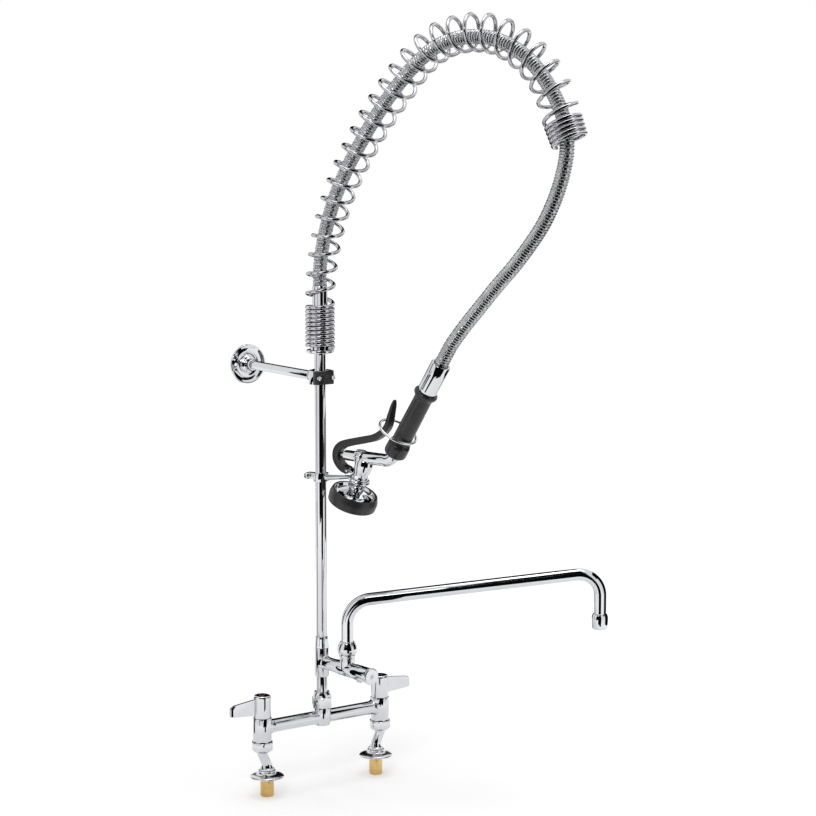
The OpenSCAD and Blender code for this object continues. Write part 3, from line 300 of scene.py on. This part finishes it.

# %% [markdown]
# ## Making a piece
# Most pieces here are turned on a lathe. In Blender the same is done with an outline of vertices and
# the spin operator, and a bevel then rounds the sharp rings. The helper below keeps that in one place,
# moves the piece onto its axis, and parents it to an empty for the body it rides on.


# %% Helpers that turn a bmesh into a piece
MERGE_REACH = 0.0005


def millimetres(bm, matrix):
    bmesh.ops.transform(bm, matrix=Matrix.Scale(MM, 4) @ matrix, verts=bm.verts)


def make_piece(bm, name, matrix, finish, body, replaced=(), smooth=30.0):
    bmesh.ops.remove_doubles(bm, verts=bm.verts, dist=MERGE_REACH)
    bmesh.ops.recalc_face_normals(bm, faces=bm.faces)
    millimetres(bm, matrix)
    mesh = bpy.data.meshes.new(name)
    bm.to_mesh(mesh)
    bm.free()
    obj = bpy.data.objects.new(name, mesh)
    bpy.context.scene.collection.objects.link(obj)
    mesh.shade_smooth()
    mesh.set_sharp_from_angle(angle=math.radians(smooth))
    mesh.materials.append(finish)
    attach(obj, body)
    if replaced:
        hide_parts(*replaced)
    print(name, len(mesh.polygons), "faces")
    return obj


def spin_outline(bm, outline, steps=72, rounding=0.0, sharp=25.0):
    """Turns an outline of (radius, height) points round Z and rounds its sharp rings."""
    first = [bm.verts.new((r, 0, z)) for r, z in outline]
    edges = [bm.edges.new(pair) for pair in zip(first, first[1:])]
    bmesh.ops.spin(bm, geom=first + edges, cent=(0, 0, 0), axis=(0, 0, 1), angle=2 * math.pi,
                   steps=steps, use_merge=True, use_duplicate=False)
    bmesh.ops.remove_doubles(bm, verts=bm.verts, dist=MERGE_REACH)
    bmesh.ops.recalc_face_normals(bm, faces=bm.faces)
    if rounding:
        rings = [e for e in bm.edges if len(e.link_faces) == 2
                 and e.calc_face_angle(0) > math.radians(sharp)]
        bmesh.ops.bevel(bm, geom=rings, offset=rounding, segments=3, profile=0.5, affect="EDGES",
                        material=-1, clamp_overlap=True)


def turned(name, outline, matrix, finish, body="fixed_body", replaced=(), rounding=0.4,
           steps=72):
    bm = bmesh.new()
    spin_outline(bm, outline, steps, rounding)
    return make_piece(bm, name, matrix, finish, body, replaced)


# %% [markdown]
# ## The hose
# The hose is a ribbed flexible metal hose of 21.5 mm outside. It comes straight out of the nut on the
# riser, follows the arch inside the spring, and runs down into the ferrule of the spray valve. Its route
# is a list of points on the upright plane of the arch. The ribs are modelled on a
# straight tube, which is then laid along the route, so that every rib keeps its shape through the bends.

# %% The hose's route: reach from the riser and height, in millimetres
HOSE_ROUTE = [
    (0, 753), (0, 764), (0, 775), (5, 808), (16, 848), (32, 888), (54, 928), (80, 966), (112, 1008),
    (148, 1048), (185, 1082), (224, 1108), (262, 1120), (298, 1123), (333, 1119), (368, 1106),
    (400, 1085), (425, 1058), (444, 1030), (456.5, 1000), (460, 966), (453, 930), (439, 894),
    (420, 860), (395, 828), (368, 798), (338, 768.5), (309, 738), (281, 708.5), (257.5, 681),
    (246.6, 664.6), (240.7, 655.3), (234.9, 646.05),
]


def smooth_route(points, steps):
    """A smooth curve through the points, as the drawing of the solids has it."""
    p = [Vector(q) for q in points]
    out = []
    for k in range(len(p) - 1):
        a, b, c, d = p[max(k - 1, 0)], p[k], p[k + 1], p[min(k + 2, len(p) - 1)]
        for j in range(steps):
            t = j / steps
            out.append(0.5 * (2 * b + (c - a) * t + (2 * a - 5 * b + 4 * c - d) * t * t
                              + (3 * b - a - 3 * c + d) * t ** 3))
    return out + [p[-1]]


class Route:
    """A plane curve that can be asked for its point and direction at any distance."""

    def __init__(self, points):
        self.points = points
        self.marks = [0.0]
        for a, b in zip(points, points[1:]):
            self.marks.append(self.marks[-1] + (b - a).length)
        self.length = self.marks[-1]

    def at(self, s):
        s = min(max(s, 0.0), self.length)
        low, high = 0, len(self.marks) - 1
        while high - low > 1:
            middle = (low + high) // 2
            low, high = (middle, high) if self.marks[middle] <= s else (low, middle)
        part = (s - self.marks[low]) / (self.marks[high] - self.marks[low])
        return self.points[low].lerp(self.points[high], part)

    def along(self, s, reach=4.0):
        return (self.at(s + reach) - self.at(s - reach)).normalized()


hose_route = Route(smooth_route(HOSE_ROUTE, 6))
print("hose length", round(hose_route.length, 1), "mm")

# %% [markdown]
# One rib is a rounded swell with a narrow groove on each side, and the folded strip that it is made of
# leaves a row of shallow dents round it, staggered from rib to rib. The outline of all ribs is spun round
# a straight axis, the dents are pressed in, and then each vertex is carried from its place on the
# straight tube to the same place along the route.

# %% The ribbed hose
HOSE_R = 10.75
GROOVE = 1.3
RIB_PITCH = 4.4
RIB_STEPS = 5
DENTS_ROUND = 16
DENT_DEPTH = 0.45
HOSE_BORE_R = 6.5
hose_ribs = round(hose_route.length / RIB_PITCH)


def rib_radius(share):
    swell = abs(math.sin(math.pi * share)) ** 0.55
    return HOSE_R - GROOVE * (1 - swell)


def press_dents(bm, pitch):
    for v in bm.verts:
        radius = math.hypot(v.co.x, v.co.y)
        if radius > HOSE_R - 2 * GROOVE:
            turned_by = DENTS_ROUND * math.atan2(v.co.y, v.co.x) + math.pi * int(v.co.z / pitch)
            dent = DENT_DEPTH * (0.5 + 0.5 * math.cos(turned_by))
            v.co.x *= 1 - dent / radius
            v.co.y *= 1 - dent / radius


def lay_along(bm, route):
    for v in bm.verts:
        centre, ahead = route.at(v.co.z), route.along(v.co.z)
        across = Vector((ahead.y, -ahead.x))
        v.co = Vector((centre.x + v.co.x * across.x, v.co.y, centre.y + v.co.x * across.y))


def make_hose():
    count = hose_ribs * RIB_STEPS
    ribs = [(rib_radius((i % RIB_STEPS) / RIB_STEPS), hose_route.length * i / count)
            for i in range(count + 1)]
    outline = [(HOSE_BORE_R, 0.0)] + ribs + [(HOSE_BORE_R, hose_route.length)]
    bm = bmesh.new()
    spin_outline(bm, outline, 4 * DENTS_ROUND)
    press_dents(bm, hose_route.length / hose_ribs)
    lay_along(bm, hose_route)
    return make_piece(bm, "ribbed_hose", ARCH, hose_steel, "fixed_body", ["hose"], 60)


hose = make_hose()

# %% [markdown]
# ## The overhead spring
# The spring is one wire, wound close at its foot and at its end and open over the arch. It is made as
# a curve with a round bevel, which is the lightest way to give a long wire a smooth round section.

# %% The spring's wire
WIRE_R = 2.85
SEAT_TOP = 655.0
FOOT_TURNS, OPEN_TURNS, END_TURNS = 10, 26, 5
CLOSE_PITCH = 2 * WIRE_R + 0.75
FOOT_R, ARCH_R = 19.7, 25.8
END_TAPER = 1.2
WIRE_STEPS = 36
SPRING_ROUTE = [
    (0, 0), (0, 30), (0, 62), (1, 90), (4, 120), (12, 160), (24, 200), (41, 240), (63, 280), (90, 320),
    (121, 360), (157, 400), (193, 436), (230, 460), (262, 470), (296, 474), (330, 471), (362, 460),
    (392, 442), (418, 418), (438, 388), (451.4, 354), (466, 320),
]
spring_route = Route(smooth_route(SPRING_ROUTE, 8))
spring_turns = FOOT_TURNS + OPEN_TURNS + END_TURNS
spring_first = WIRE_R + 0.1
spring_last = spring_route.length - WIRE_R


def between(t, table):
    for (a, low), (b, high) in zip(table, table[1:]):
        if t <= b:
            return low + (high - low) * (t - a) / (b - a)
    return table[-1][1]


TURN_PLACES = [
    (0, spring_first), (FOOT_TURNS, spring_first + FOOT_TURNS * CLOSE_PITCH),
    (FOOT_TURNS + OPEN_TURNS, spring_last - END_TURNS * CLOSE_PITCH), (spring_turns, spring_last),
]
TURN_RADII = [
    (0, FOOT_R), (FOOT_TURNS, FOOT_R), (FOOT_TURNS + OPEN_TURNS / 2, ARCH_R),
    (FOOT_TURNS + OPEN_TURNS, ARCH_R), (spring_turns, ARCH_R - END_TAPER),
]


def wire_point(t):
    s, r, angle = between(t, TURN_PLACES), between(t, TURN_RADII), 2 * math.pi * t
    centre, ahead = spring_route.at(s), spring_route.along(s, 1.0)
    across = Vector((ahead.y, -ahead.x))
    reach = r * math.cos(angle)
    local = Vector((centre.x + reach * across.x, r * math.sin(angle), SEAT_TOP + centre.y + reach * across.y))
    return (ARCH @ local) * MM


def make_spring():
    curve = bpy.data.curves.new("overhead_spring_wire", "CURVE")
    curve.dimensions = "3D"
    curve.bevel_depth = WIRE_R * MM
    curve.bevel_resolution = 3
    curve.use_fill_caps = True
    line = curve.splines.new("POLY")
    line.points.add(spring_turns * WIRE_STEPS)
    for i, point in enumerate(line.points):
        point.co = (*wire_point(i / WIRE_STEPS), 1.0)
    line.use_smooth = True
    obj = bpy.data.objects.new("overhead_spring_wire", curve)
    bpy.context.scene.collection.objects.link(obj)
    curve.materials.append(spring_wire)
    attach(obj, "fixed_body")
    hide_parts("overhead_spring")
    print("spring wire", len(line.points), "points")


make_spring()

# %% [markdown]
# ## Spray head
# The head is a chrome cup with a thick rubber ring round it. Seen from above the cup is open: a hub in
# the middle, a bowl, and the rubber ring standing a little proud of it. Both are lathe shapes, so the
# outlines are drawn with short arcs where the real ones are round.


# %% Arcs for outlines
def arc(centre, radius, start, end, steps=6):
    """Points on an arc in the (radius, height) plane, angles in degrees."""
    return [(centre[0] + radius * math.cos(math.radians(start + (end - start) * i / steps)),
             centre[1] + radius * math.sin(math.radians(start + (end - start) * i / steps)))
            for i in range(steps + 1)]


# %% Cup and rubber ring
DISH_BACK = -20.5
DISH_FRONT = -40.3
DISH_R = 29.9
RIM_R = 33.2
BUMPER_R = 38.0
FIT = 0.1
cup = ([(0.01, DISH_BACK + 9.8)] + arc((10.2, DISH_BACK + 8.6), 1.2, 90, 0, 4)
       + [(11.4, DISH_BACK + 1)] + arc((17.4, DISH_BACK - 3.2), 5.4, 200, 270, 6)
       + arc((23.4, DISH_BACK - 0.8), 7.8, 270, 336, 7)
       + [(31.6, DISH_BACK - 0.6), (RIM_R, DISH_BACK - 0.4), (RIM_R, DISH_BACK - 3.0),
          (DISH_R, DISH_BACK - 7.0), (DISH_R, DISH_FRONT + 2.2), (DISH_R - 1.8, DISH_FRONT + 2.2),
          (DISH_R - 1.8, DISH_BACK - 9.6), (0.01, DISH_BACK - 10.6)])
turned("spray_cup", cup, HEAD, chrome, replaced=["spray_dish"], rounding=0.3, steps=96)
rubber = ([(RIM_R + FIT, DISH_BACK - 0.2)] + arc((RIM_R + 1.3, DISH_BACK - 0.9), 1.1, 120, 40, 3)
          + [(36.4, DISH_BACK - 3.4), (37.6, DISH_BACK - 7.5), (BUMPER_R, DISH_BACK - 11),
             (37.6, DISH_BACK - 14.6)]
          + arc((33.8, DISH_BACK - 18.4), 3.6, 8, -88, 8)
          + arc((28.7, DISH_BACK - 20.9), 1.2, -90, -180, 3)
          + [(27.5, DISH_FRONT - FIT), (DISH_R + FIT, DISH_FRONT - FIT), (DISH_R + FIT, DISH_BACK - 7.2),
             (RIM_R + FIT, DISH_BACK - 3.2)])
rubber = rubber + [rubber[0]]
turned("rubber_bumper", rubber, HEAD, bumper_rubber, replaced=["bumper_ring"], rounding=0.0,
       steps=112)

# %% [markdown]
# The face under the cup is a steel plate with three rings of small nozzles. Each nozzle is a short
# cone that stands a little out of the plate, narrower where the water leaves it. A circle extruded to a
# plate and a row of cones is all that this face needs, since it is seen from below only.

# %% Spray face
PLATE_T = 2.0
NOZZLE_RINGS = 3
RING_STEP = 7.2


def spray_face():
    bm = bmesh.new()
    made = bmesh.ops.create_circle(bm, cap_ends=True, radius=DISH_R - FIT, segments=96)
    bmesh.ops.translate(bm, verts=made["verts"], vec=(0, 0, DISH_FRONT + PLATE_T))
    rim = bmesh.ops.extrude_face_region(bm, geom=list(bm.faces))
    moved = [g for g in rim["geom"] if isinstance(g, bmesh.types.BMVert)]
    bmesh.ops.translate(bm, verts=moved, vec=(0, 0, -PLATE_T))
    for ring in range(1, NOZZLE_RINGS + 1):
        for i in range(6 * ring):
            a = 2 * math.pi * i / (6 * ring)
            nozzle = bmesh.ops.create_cone(bm, cap_ends=True, segments=20, radius1=1.15, radius2=1.75,
                                           depth=0.9)
            place = (RING_STEP * ring * math.cos(a), RING_STEP * ring * math.sin(a), DISH_FRONT - 0.2)
            bmesh.ops.translate(bm, verts=nozzle["verts"], vec=place)
    return make_piece(bm, "spray_plate", HEAD, face_steel, "fixed_body", ["spray_face"])


spray_face()

# %% [markdown]
# ## Grip and hold-down ring
# The grip is one smooth dipped sleeve: a swelling at the valve's end, a shallow groove above it, a long
# slim body and a flared collar under the ferrule. It could be a stack of cylinders, but one outline spun
# round its axis has no seams. The ring that holds the lever down is a small circle swept round an axis.

# %% Grip and wire ring
GRIP_LEN = 119.0
sleeve = ([(8.6, 0.2), (13.0, 0.2)] + arc((11.6, 6.0), 5.8, -75, 0, 8) + [(17.5, 10), (17.3, 16)]
          + arc((12.6, 19.0), 4.6, 10, 58, 5) + arc((17.9, 27.0), 3.5, 236, 182, 4)
          + [(14.35, 34), (14.3, 50), (14.1, 75), (13.8, 98), (13.8, 104)]
          + arc((18.0, 106.6), 4.2, 182, 122, 5)
          + [(17.9, 113.2), (18.3, 115.2), (18.1, 117.2), (17.0, 118.6), (15.3, GRIP_LEN), (8.6, GRIP_LEN)])
sleeve = sleeve + [sleeve[0]]
turned("grip_sleeve", sleeve, GRIP, grip_plastic, replaced=["grip"], rounding=0.0,
       steps=80)


def round_wire_ring(name, mean, wire, matrix, finish, body, replaced):
    """A wire ring: a small circle swept round the axis by the spin operator."""
    bm = bmesh.new()
    made = bmesh.ops.create_circle(bm, cap_ends=False, radius=wire, segments=20)
    bmesh.ops.rotate(bm, verts=made["verts"], matrix=Matrix.Rotation(math.radians(90), 3, "X"))
    bmesh.ops.translate(bm, verts=made["verts"], vec=(mean, 0, 0))
    bmesh.ops.spin(bm, geom=list(bm.verts) + list(bm.edges), cent=(0, 0, 0), axis=(0, 0, 1),
                   angle=2 * math.pi, steps=96, use_merge=True, use_duplicate=False)
    return make_piece(bm, name, matrix, finish, body, replaced, 60)


round_wire_ring("hold_down_wire", 29.5, 2.0, GRIP @ shift(-12.6, 0, 34.7), chrome, "hold_down_ring",
                ["hold_ring"])

# %% [markdown]
# ## Squeeze lever
# The lever hangs on a pin at the head, wraps round the push button in a C and runs up along the grip.
# Its side view is a band that gets thinner towards the tip. The band is drawn flat from its centre
# line, extruded to its width, and its edges are bevelled round as a moulding has them.

# %% Lever
LEVER_ROUTE = [
    (-22.3, 13), (-32, 16), (-40, 22), (-45.2, 31), (-44, 42), (-36, 50.5), (-23, 55.5), (3.7, 61.9),
    (29.7, 68.6), (45.5, 77.5), (56, 88.8), (62.2, 108), (68.5, 129),
]
LEVER_HALF = [(0, 5.5), (7, 5.7), (8.4, 5.1), (9.4, 4.4), (10.5, 3.7), (11.4, 2.7), (12, 1.3)]
LEVER_W = 14.0
TIP_NARROWS = [(0, 1.0), (9.6, 1.0), (10.8, 0.92), (11.6, 0.7), (12, 0.36)]


def make_lever():
    line = smooth_route(LEVER_ROUTE, 6)
    bm = bmesh.new()
    upper, lower = [], []
    narrow = {}
    for i, point in enumerate(line):
        ahead = (line[min(i + 1, len(line) - 1)] - line[max(i - 1, 0)]).normalized()
        side = Vector((-ahead.y, ahead.x)) * between(i / 6, LEVER_HALF)
        upper.append(bm.verts.new((point.x + side.x, -LEVER_W / 2, point.y + side.y)))
        lower.append(bm.verts.new((point.x - side.x, -LEVER_W / 2, point.y - side.y)))
        for v in (upper[-1], lower[-1]):
            narrow[round(v.co.x, 3), round(v.co.z, 3)] = between(i / 6, TIP_NARROWS)
    for a, b, c, d in zip(upper, upper[1:], lower[1:], lower):
        bm.faces.new((a, b, c, d))
    made = bmesh.ops.extrude_face_region(bm, geom=list(bm.faces))
    far = [g for g in made["geom"] if isinstance(g, bmesh.types.BMVert)]
    bmesh.ops.translate(bm, verts=far, vec=(0, LEVER_W, 0))
    for v in bm.verts:
        v.co.y *= narrow[round(v.co.x, 3), round(v.co.z, 3)]
    bmesh.ops.recalc_face_normals(bm, faces=bm.faces)
    rims = [e for e in bm.edges if len(e.link_faces) == 2 and e.calc_face_angle(0) > math.radians(60)]
    bmesh.ops.bevel(bm, geom=rims, offset=1.5, segments=4, profile=0.5, affect="EDGES", material=-1,
                    clamp_overlap=True)
    return make_piece(bm, "lever_blade", VALVE, lever_plastic, "squeeze_lever_body", ["squeeze_lever"],
                      50)


make_lever()

# %% [markdown]
# ## Handles
# Each handle is a round hub with a flat paddle that gets lower towards its tip. A small coloured button
# in the hub's top says hot or cold. The paddle is drawn from the side, extruded to its thickness and
# bevelled; the hub is turned with a softly domed shoulder.

# %% Handles
LEVER_REACH = 57.0
PADDLE_T = 4.0
PADDLE_LOW, PADDLE_HIGH = 7.6, 25.4
HUB_CLEAR = 14.5
hub_outline = ([(9.5, 0.0), (13.6, 0.0)] + [(13.45, HUB_H - 5.6)]
               + arc((9.6, HUB_H - 4.1), 3.95, 0, 90, 8)
               + [(4.6, HUB_H), (4.6, HUB_H - 4), (0.01, HUB_H - 4)])


def make_handle(side, body, name):
    bm = bmesh.new()
    spin_outline(bm, hub_outline, 80, 0.35)
    outline = ([(10, 4.6)] + arc((LEVER_REACH - 3.2, PADDLE_LOW + 3.2), 3.2, -80, 0, 5)
               + arc((LEVER_REACH - 6.0, PADDLE_HIGH - 6.0), 6.0, 0, 76, 7) + [(10, 30.4)])
    face = bm.faces.new([bm.verts.new((x, -PADDLE_T / 2, z)) for x, z in outline])
    made = bmesh.ops.extrude_face_region(bm, geom=[face])
    far = [g for g in made["geom"] if isinstance(g, bmesh.types.BMVert)]
    bmesh.ops.translate(bm, verts=far, vec=(0, PADDLE_T, 0))
    bmesh.ops.recalc_face_normals(bm, faces=bm.faces)
    rims = [e for e in bm.edges if len(e.link_faces) == 2 and e.calc_face_angle(0) > math.radians(60)
            and e.verts[0].co.x > HUB_CLEAR and e.verts[1].co.x > HUB_CLEAR]
    bmesh.ops.bevel(bm, geom=rims, offset=0.9, segments=3, profile=0.5, affect="EDGES", material=-1,
                    clamp_overlap=True)
    matrix = shift(side * VALVE_X, 0, HUB_Z) @ turn("Z", 0 if side > 0 else 180)
    return make_piece(bm, name, matrix, chrome, body, ["handle_" + ("cold" if side > 0 else "hot")])


make_handle(-1, "hot_handle", "paddle_handle_hot")
make_handle(1, "cold_handle", "paddle_handle_cold")

# %% [markdown]
# ## Spout
# The spout is one bent tube: up out of its nut, over a wide bend, along a run that rises a little, and
# down through a tighter bend to the outlet. A circle is extruded along the straight lengths and spun
# round the centre of each bend, so that the tube stays exactly round.

# %% Bent spout
SPOUT_R = 9.5
SPOUT_REACH = 386.0
SPOUT_RISE = 7.0
BEND_R = 40.0
DROP_R = 32.0
RUN_LOW_Z = BRANCH_Z + 106
SOCKET_Z = BRANCH_Z + 7
OUTLET_Z = RUN_LOW_Z - 29.6


def edge_loop(bm, verts):
    kept = set(verts)
    return [e for e in bm.edges if e.verts[0] in kept and e.verts[1] in kept]


def make_spout():
    up, down = 90 - SPOUT_RISE, 90 + SPOUT_RISE
    slope = math.tan(math.radians(SPOUT_RISE))
    lean = BEND_R * (1 - math.cos(math.radians(up)))
    run_start = Vector((lean, 0, RUN_LOW_Z + lean * slope))
    bend_z = run_start.z - BEND_R * math.sin(math.radians(up))
    drop_x = SPOUT_REACH - DROP_R * (1 - math.cos(math.radians(down)))
    drop_start = Vector((drop_x, 0, RUN_LOW_Z + drop_x * slope))
    drop_centre = (SPOUT_REACH - DROP_R, 0, drop_start.z - DROP_R * math.cos(math.radians(SPOUT_RISE)))
    bm = bmesh.new()
    start = bmesh.ops.create_circle(bm, cap_ends=False, radius=SPOUT_R, segments=48)
    verts = start["verts"]
    bmesh.ops.translate(bm, verts=verts, vec=(0, 0, SOCKET_Z + 2))

    def along(vec):
        made = bmesh.ops.extrude_edge_only(bm, edges=edge_loop(bm, verts))
        new = [g for g in made["geom"] if isinstance(g, bmesh.types.BMVert)]
        bmesh.ops.translate(bm, verts=new, vec=vec)
        return new

    def bend(centre, degrees, steps):
        geom = list(verts) + edge_loop(bm, verts)
        made = bmesh.ops.spin(bm, geom=geom, cent=centre, axis=(0, 1, 0), angle=math.radians(degrees),
                              steps=steps, use_duplicate=False)
        return [g for g in made["geom_last"] if isinstance(g, bmesh.types.BMVert)]

    verts = along((0, 0, bend_z - SOCKET_Z - 2))
    verts = bend((BEND_R, 0, bend_z), up, 24)
    verts = along(drop_start - run_start)
    verts = bend(drop_centre, down, 24)
    verts = along((0, 0, OUTLET_Z - drop_centre[2]))
    return make_piece(bm, "bent_spout", SPOUT, chrome, "spout", ["spout_tube"], 40)


make_spout()

# %% [markdown]
# ## Studio
# The photograph has a white ground with soft shadows, and chrome shows that white ground as well.
# Chrome in a white room fades into it, so a studio puts tall black cards just out of the picture, and
# the metal mirrors them as the dark streaks that show its roundness. The floor comes first: it glows a
# little where a mirror or the camera looks at it, more far away than near the faucet.

# %% White ground that keeps the shadow
NEAR_GLOW = 0.3
FAR_GLOW = 0.5
GLOW_FROM, GLOW_TO = 0.25, 1.1
FLOOR_HALF = 14.0
FLOOR_GAP = 0.0005


def seen_directly(tree):
    """1 for what the camera, a mirror or a clear piece looks at, 0 for light that falls on things."""
    path = tree.nodes.new("ShaderNodeLightPath")
    total = path.outputs["Is Camera Ray"]
    for kind in ("Is Glossy Ray", "Is Transmission Ray"):
        add = tree.nodes.new("ShaderNodeMath")
        add.operation = "MAXIMUM"
        tree.links.new(total, add.inputs[0])
        tree.links.new(path.outputs[kind], add.inputs[1])
        total = add.outputs["Value"]
    return total


def make_floor():
    mesh = bpy.data.meshes.new("floor")
    bm = bmesh.new()
    bmesh.ops.create_grid(bm, x_segments=1, y_segments=1, size=FLOOR_HALF)
    bmesh.ops.translate(bm, verts=bm.verts, vec=(0, 0, -DECK_DROP * MM - FLOOR_GAP))
    bm.to_mesh(mesh)
    bm.free()
    floor = bpy.data.objects.new("floor", mesh)
    bpy.context.scene.collection.objects.link(floor)
    paint, tree, shader = new_finish("studio_floor")
    shader.inputs["Base Color"].default_value = (0.9, 0.9, 0.9, 1)
    shader.inputs["Roughness"].default_value = 0.9
    shader.inputs["Specular IOR Level"].default_value = 0.1
    shader.inputs["Emission Color"].default_value = (1, 1, 1, 1)
    place = tree.nodes.new("ShaderNodeTexCoord")
    reach = tree.nodes.new("ShaderNodeVectorMath")
    reach.operation = "LENGTH"
    tree.links.new(place.outputs["Object"], reach.inputs[0])
    fade = tree.nodes.new("ShaderNodeMapRange")
    fade.inputs["From Min"].default_value = GLOW_FROM
    fade.inputs["From Max"].default_value = GLOW_TO
    fade.inputs["To Min"].default_value = NEAR_GLOW
    fade.inputs["To Max"].default_value = FAR_GLOW
    tree.links.new(reach.outputs["Value"], fade.inputs["Value"])
    glow = tree.nodes.new("ShaderNodeMath")
    glow.operation = "MULTIPLY"
    tree.links.new(seen_directly(tree), glow.inputs[0])
    tree.links.new(fade.outputs["Result"], glow.inputs[1])
    tree.links.new(glow.outputs["Value"], shader.inputs["Emission Strength"])
    mesh.materials.append(paint)
    print("floor", DECK_DROP, "mm under the deck's top")


make_floor()

# %% [markdown]
# The room round the floor is plain white where the camera or a mirror looks at it, and about half as
# bright where its light falls on the object, so that pale pieces don't clip. A Map Range node switches
# between the two levels.

# %% World
ROOM_LEVEL = 0.55
world = bpy.data.worlds.new("studio")
bpy.context.scene.world = world
world.use_nodes = True
background = world.node_tree.nodes["Background"]
background.inputs["Color"].default_value = (1, 1, 1, 1)
level = world.node_tree.nodes.new("ShaderNodeMapRange")
level.inputs["To Min"].default_value = ROOM_LEVEL
level.inputs["To Max"].default_value = 1.0
world.node_tree.links.new(seen_directly(world.node_tree), level.inputs["Value"])
world.node_tree.links.new(level.outputs["Result"], background.inputs["Strength"])
print("room light:", ROOM_LEVEL, "of white")

# %% [markdown]
# Each card is a flat black sheet. It is placed by its first and last angle from the line to the camera,
# positive to the right, by the heights of its lower and upper edge, and by its distance. Cards near the
# front darken the middle of the riser, those at the sides draw its edges, and those above reach the
# bridge, whose upper half mirrors what is over it.

# %% Black cards
card_paint, _, card_shader = new_finish("black_card")
card_shader.inputs["Base Color"].default_value = (0.006, 0.006, 0.006, 1)
card_shader.inputs["Roughness"].default_value = 1.0
card_shader.inputs["Specular IOR Level"].default_value = 0.0


def black_card(name, first, last, low, high, away):
    """A card for mirror reflections alone: it throws no shadow and the camera looks through it."""
    mesh = bpy.data.meshes.new(name)
    bm = bmesh.new()
    bmesh.ops.create_grid(bm, x_segments=1, y_segments=1, size=0.5)
    across = 2 * away * math.tan(math.radians(abs(last - first) / 2))
    facing = -90.0 - VIEW_YAW + (first + last) / 2
    matrix = turn("Z", facing) @ shift(away, 0, (low + high) / 2) @ turn("Y", 90)
    bmesh.ops.scale(bm, verts=bm.verts, vec=(high - low, across, 1))
    bmesh.ops.transform(bm, matrix=matrix, verts=bm.verts)
    bm.to_mesh(mesh)
    bm.free()
    card = bpy.data.objects.new(name, mesh)
    bpy.context.scene.collection.objects.link(card)
    mesh.materials.append(card_paint)
    card.visible_camera = False
    card.visible_diffuse = False
    card.visible_shadow = False
    card.visible_transmission = False


CARDS = {
    "card_front": (-33, 30, 0.2, 0.8, 0.64), "card_side": (78, 125, 0.14, 0.57, 0.7),
    "card_right": (7, 50, 0.14, 2.1, 0.66), "card_right_near": (4, 48, 0.03, 0.16, 0.66),
    "card_right_low": (7, 28, 0.0, 0.36, 0.27),
    "card_left": (-94, -80, 0.1, 2.1, 0.7), "card_left_low": (-100, -84, 0.0, 0.36, 0.3),
    "card_behind": (152, 208, 0.1, 2.1, 0.7), "card_behind_low": (160, 200, 0.0, 0.36, 0.36),
    "card_strip": (-36, -30, 0.1, 1.9, 0.9), "card_above": (-45, 45, 1.25, 1.5, 0.95),
    "card_above_right": (62, 122, 0.66, 1.0, 0.95),
}
for card_name, place in CARDS.items():
    black_card(card_name, *place)
print("black cards out of the picture:", len(CARDS))

# %% [markdown]
# Two large area lamps, one from the left and one from above, give the black plastics their sheen and the
# floor its soft shadow. They are weak, because the white room does most of the lighting.


# %% Lamps
def area_lamp(name, place, aim, size, power):
    data = bpy.data.lights.new(name, "AREA")
    data.shape = "RECTANGLE"
    data.size, data.size_y = size
    data.energy = power
    lamp = bpy.data.objects.new(name, data)
    lamp.location = place
    lamp.rotation_euler = (Vector(aim) - Vector(place)).to_track_quat("-Z", "Y").to_euler()
    bpy.context.scene.collection.objects.link(lamp)


area_lamp("key_lamp", (-2.2, -2.2, 2.6), (0, -0.1, 0.5), (1.2, 1.2), 26)
area_lamp("top_lamp", (0.2, -0.2, 3.2), (0, -0.2, 0), (1.6, 1.6), 18)
print("lamps:", len(bpy.data.lights))

# %% [markdown]
# The Standard view shows colours as they are written, so the white ground stays white.

# %% Look
bpy.context.scene.view_settings.view_transform = "Standard"
print("view:", bpy.context.scene.view_settings.view_transform)
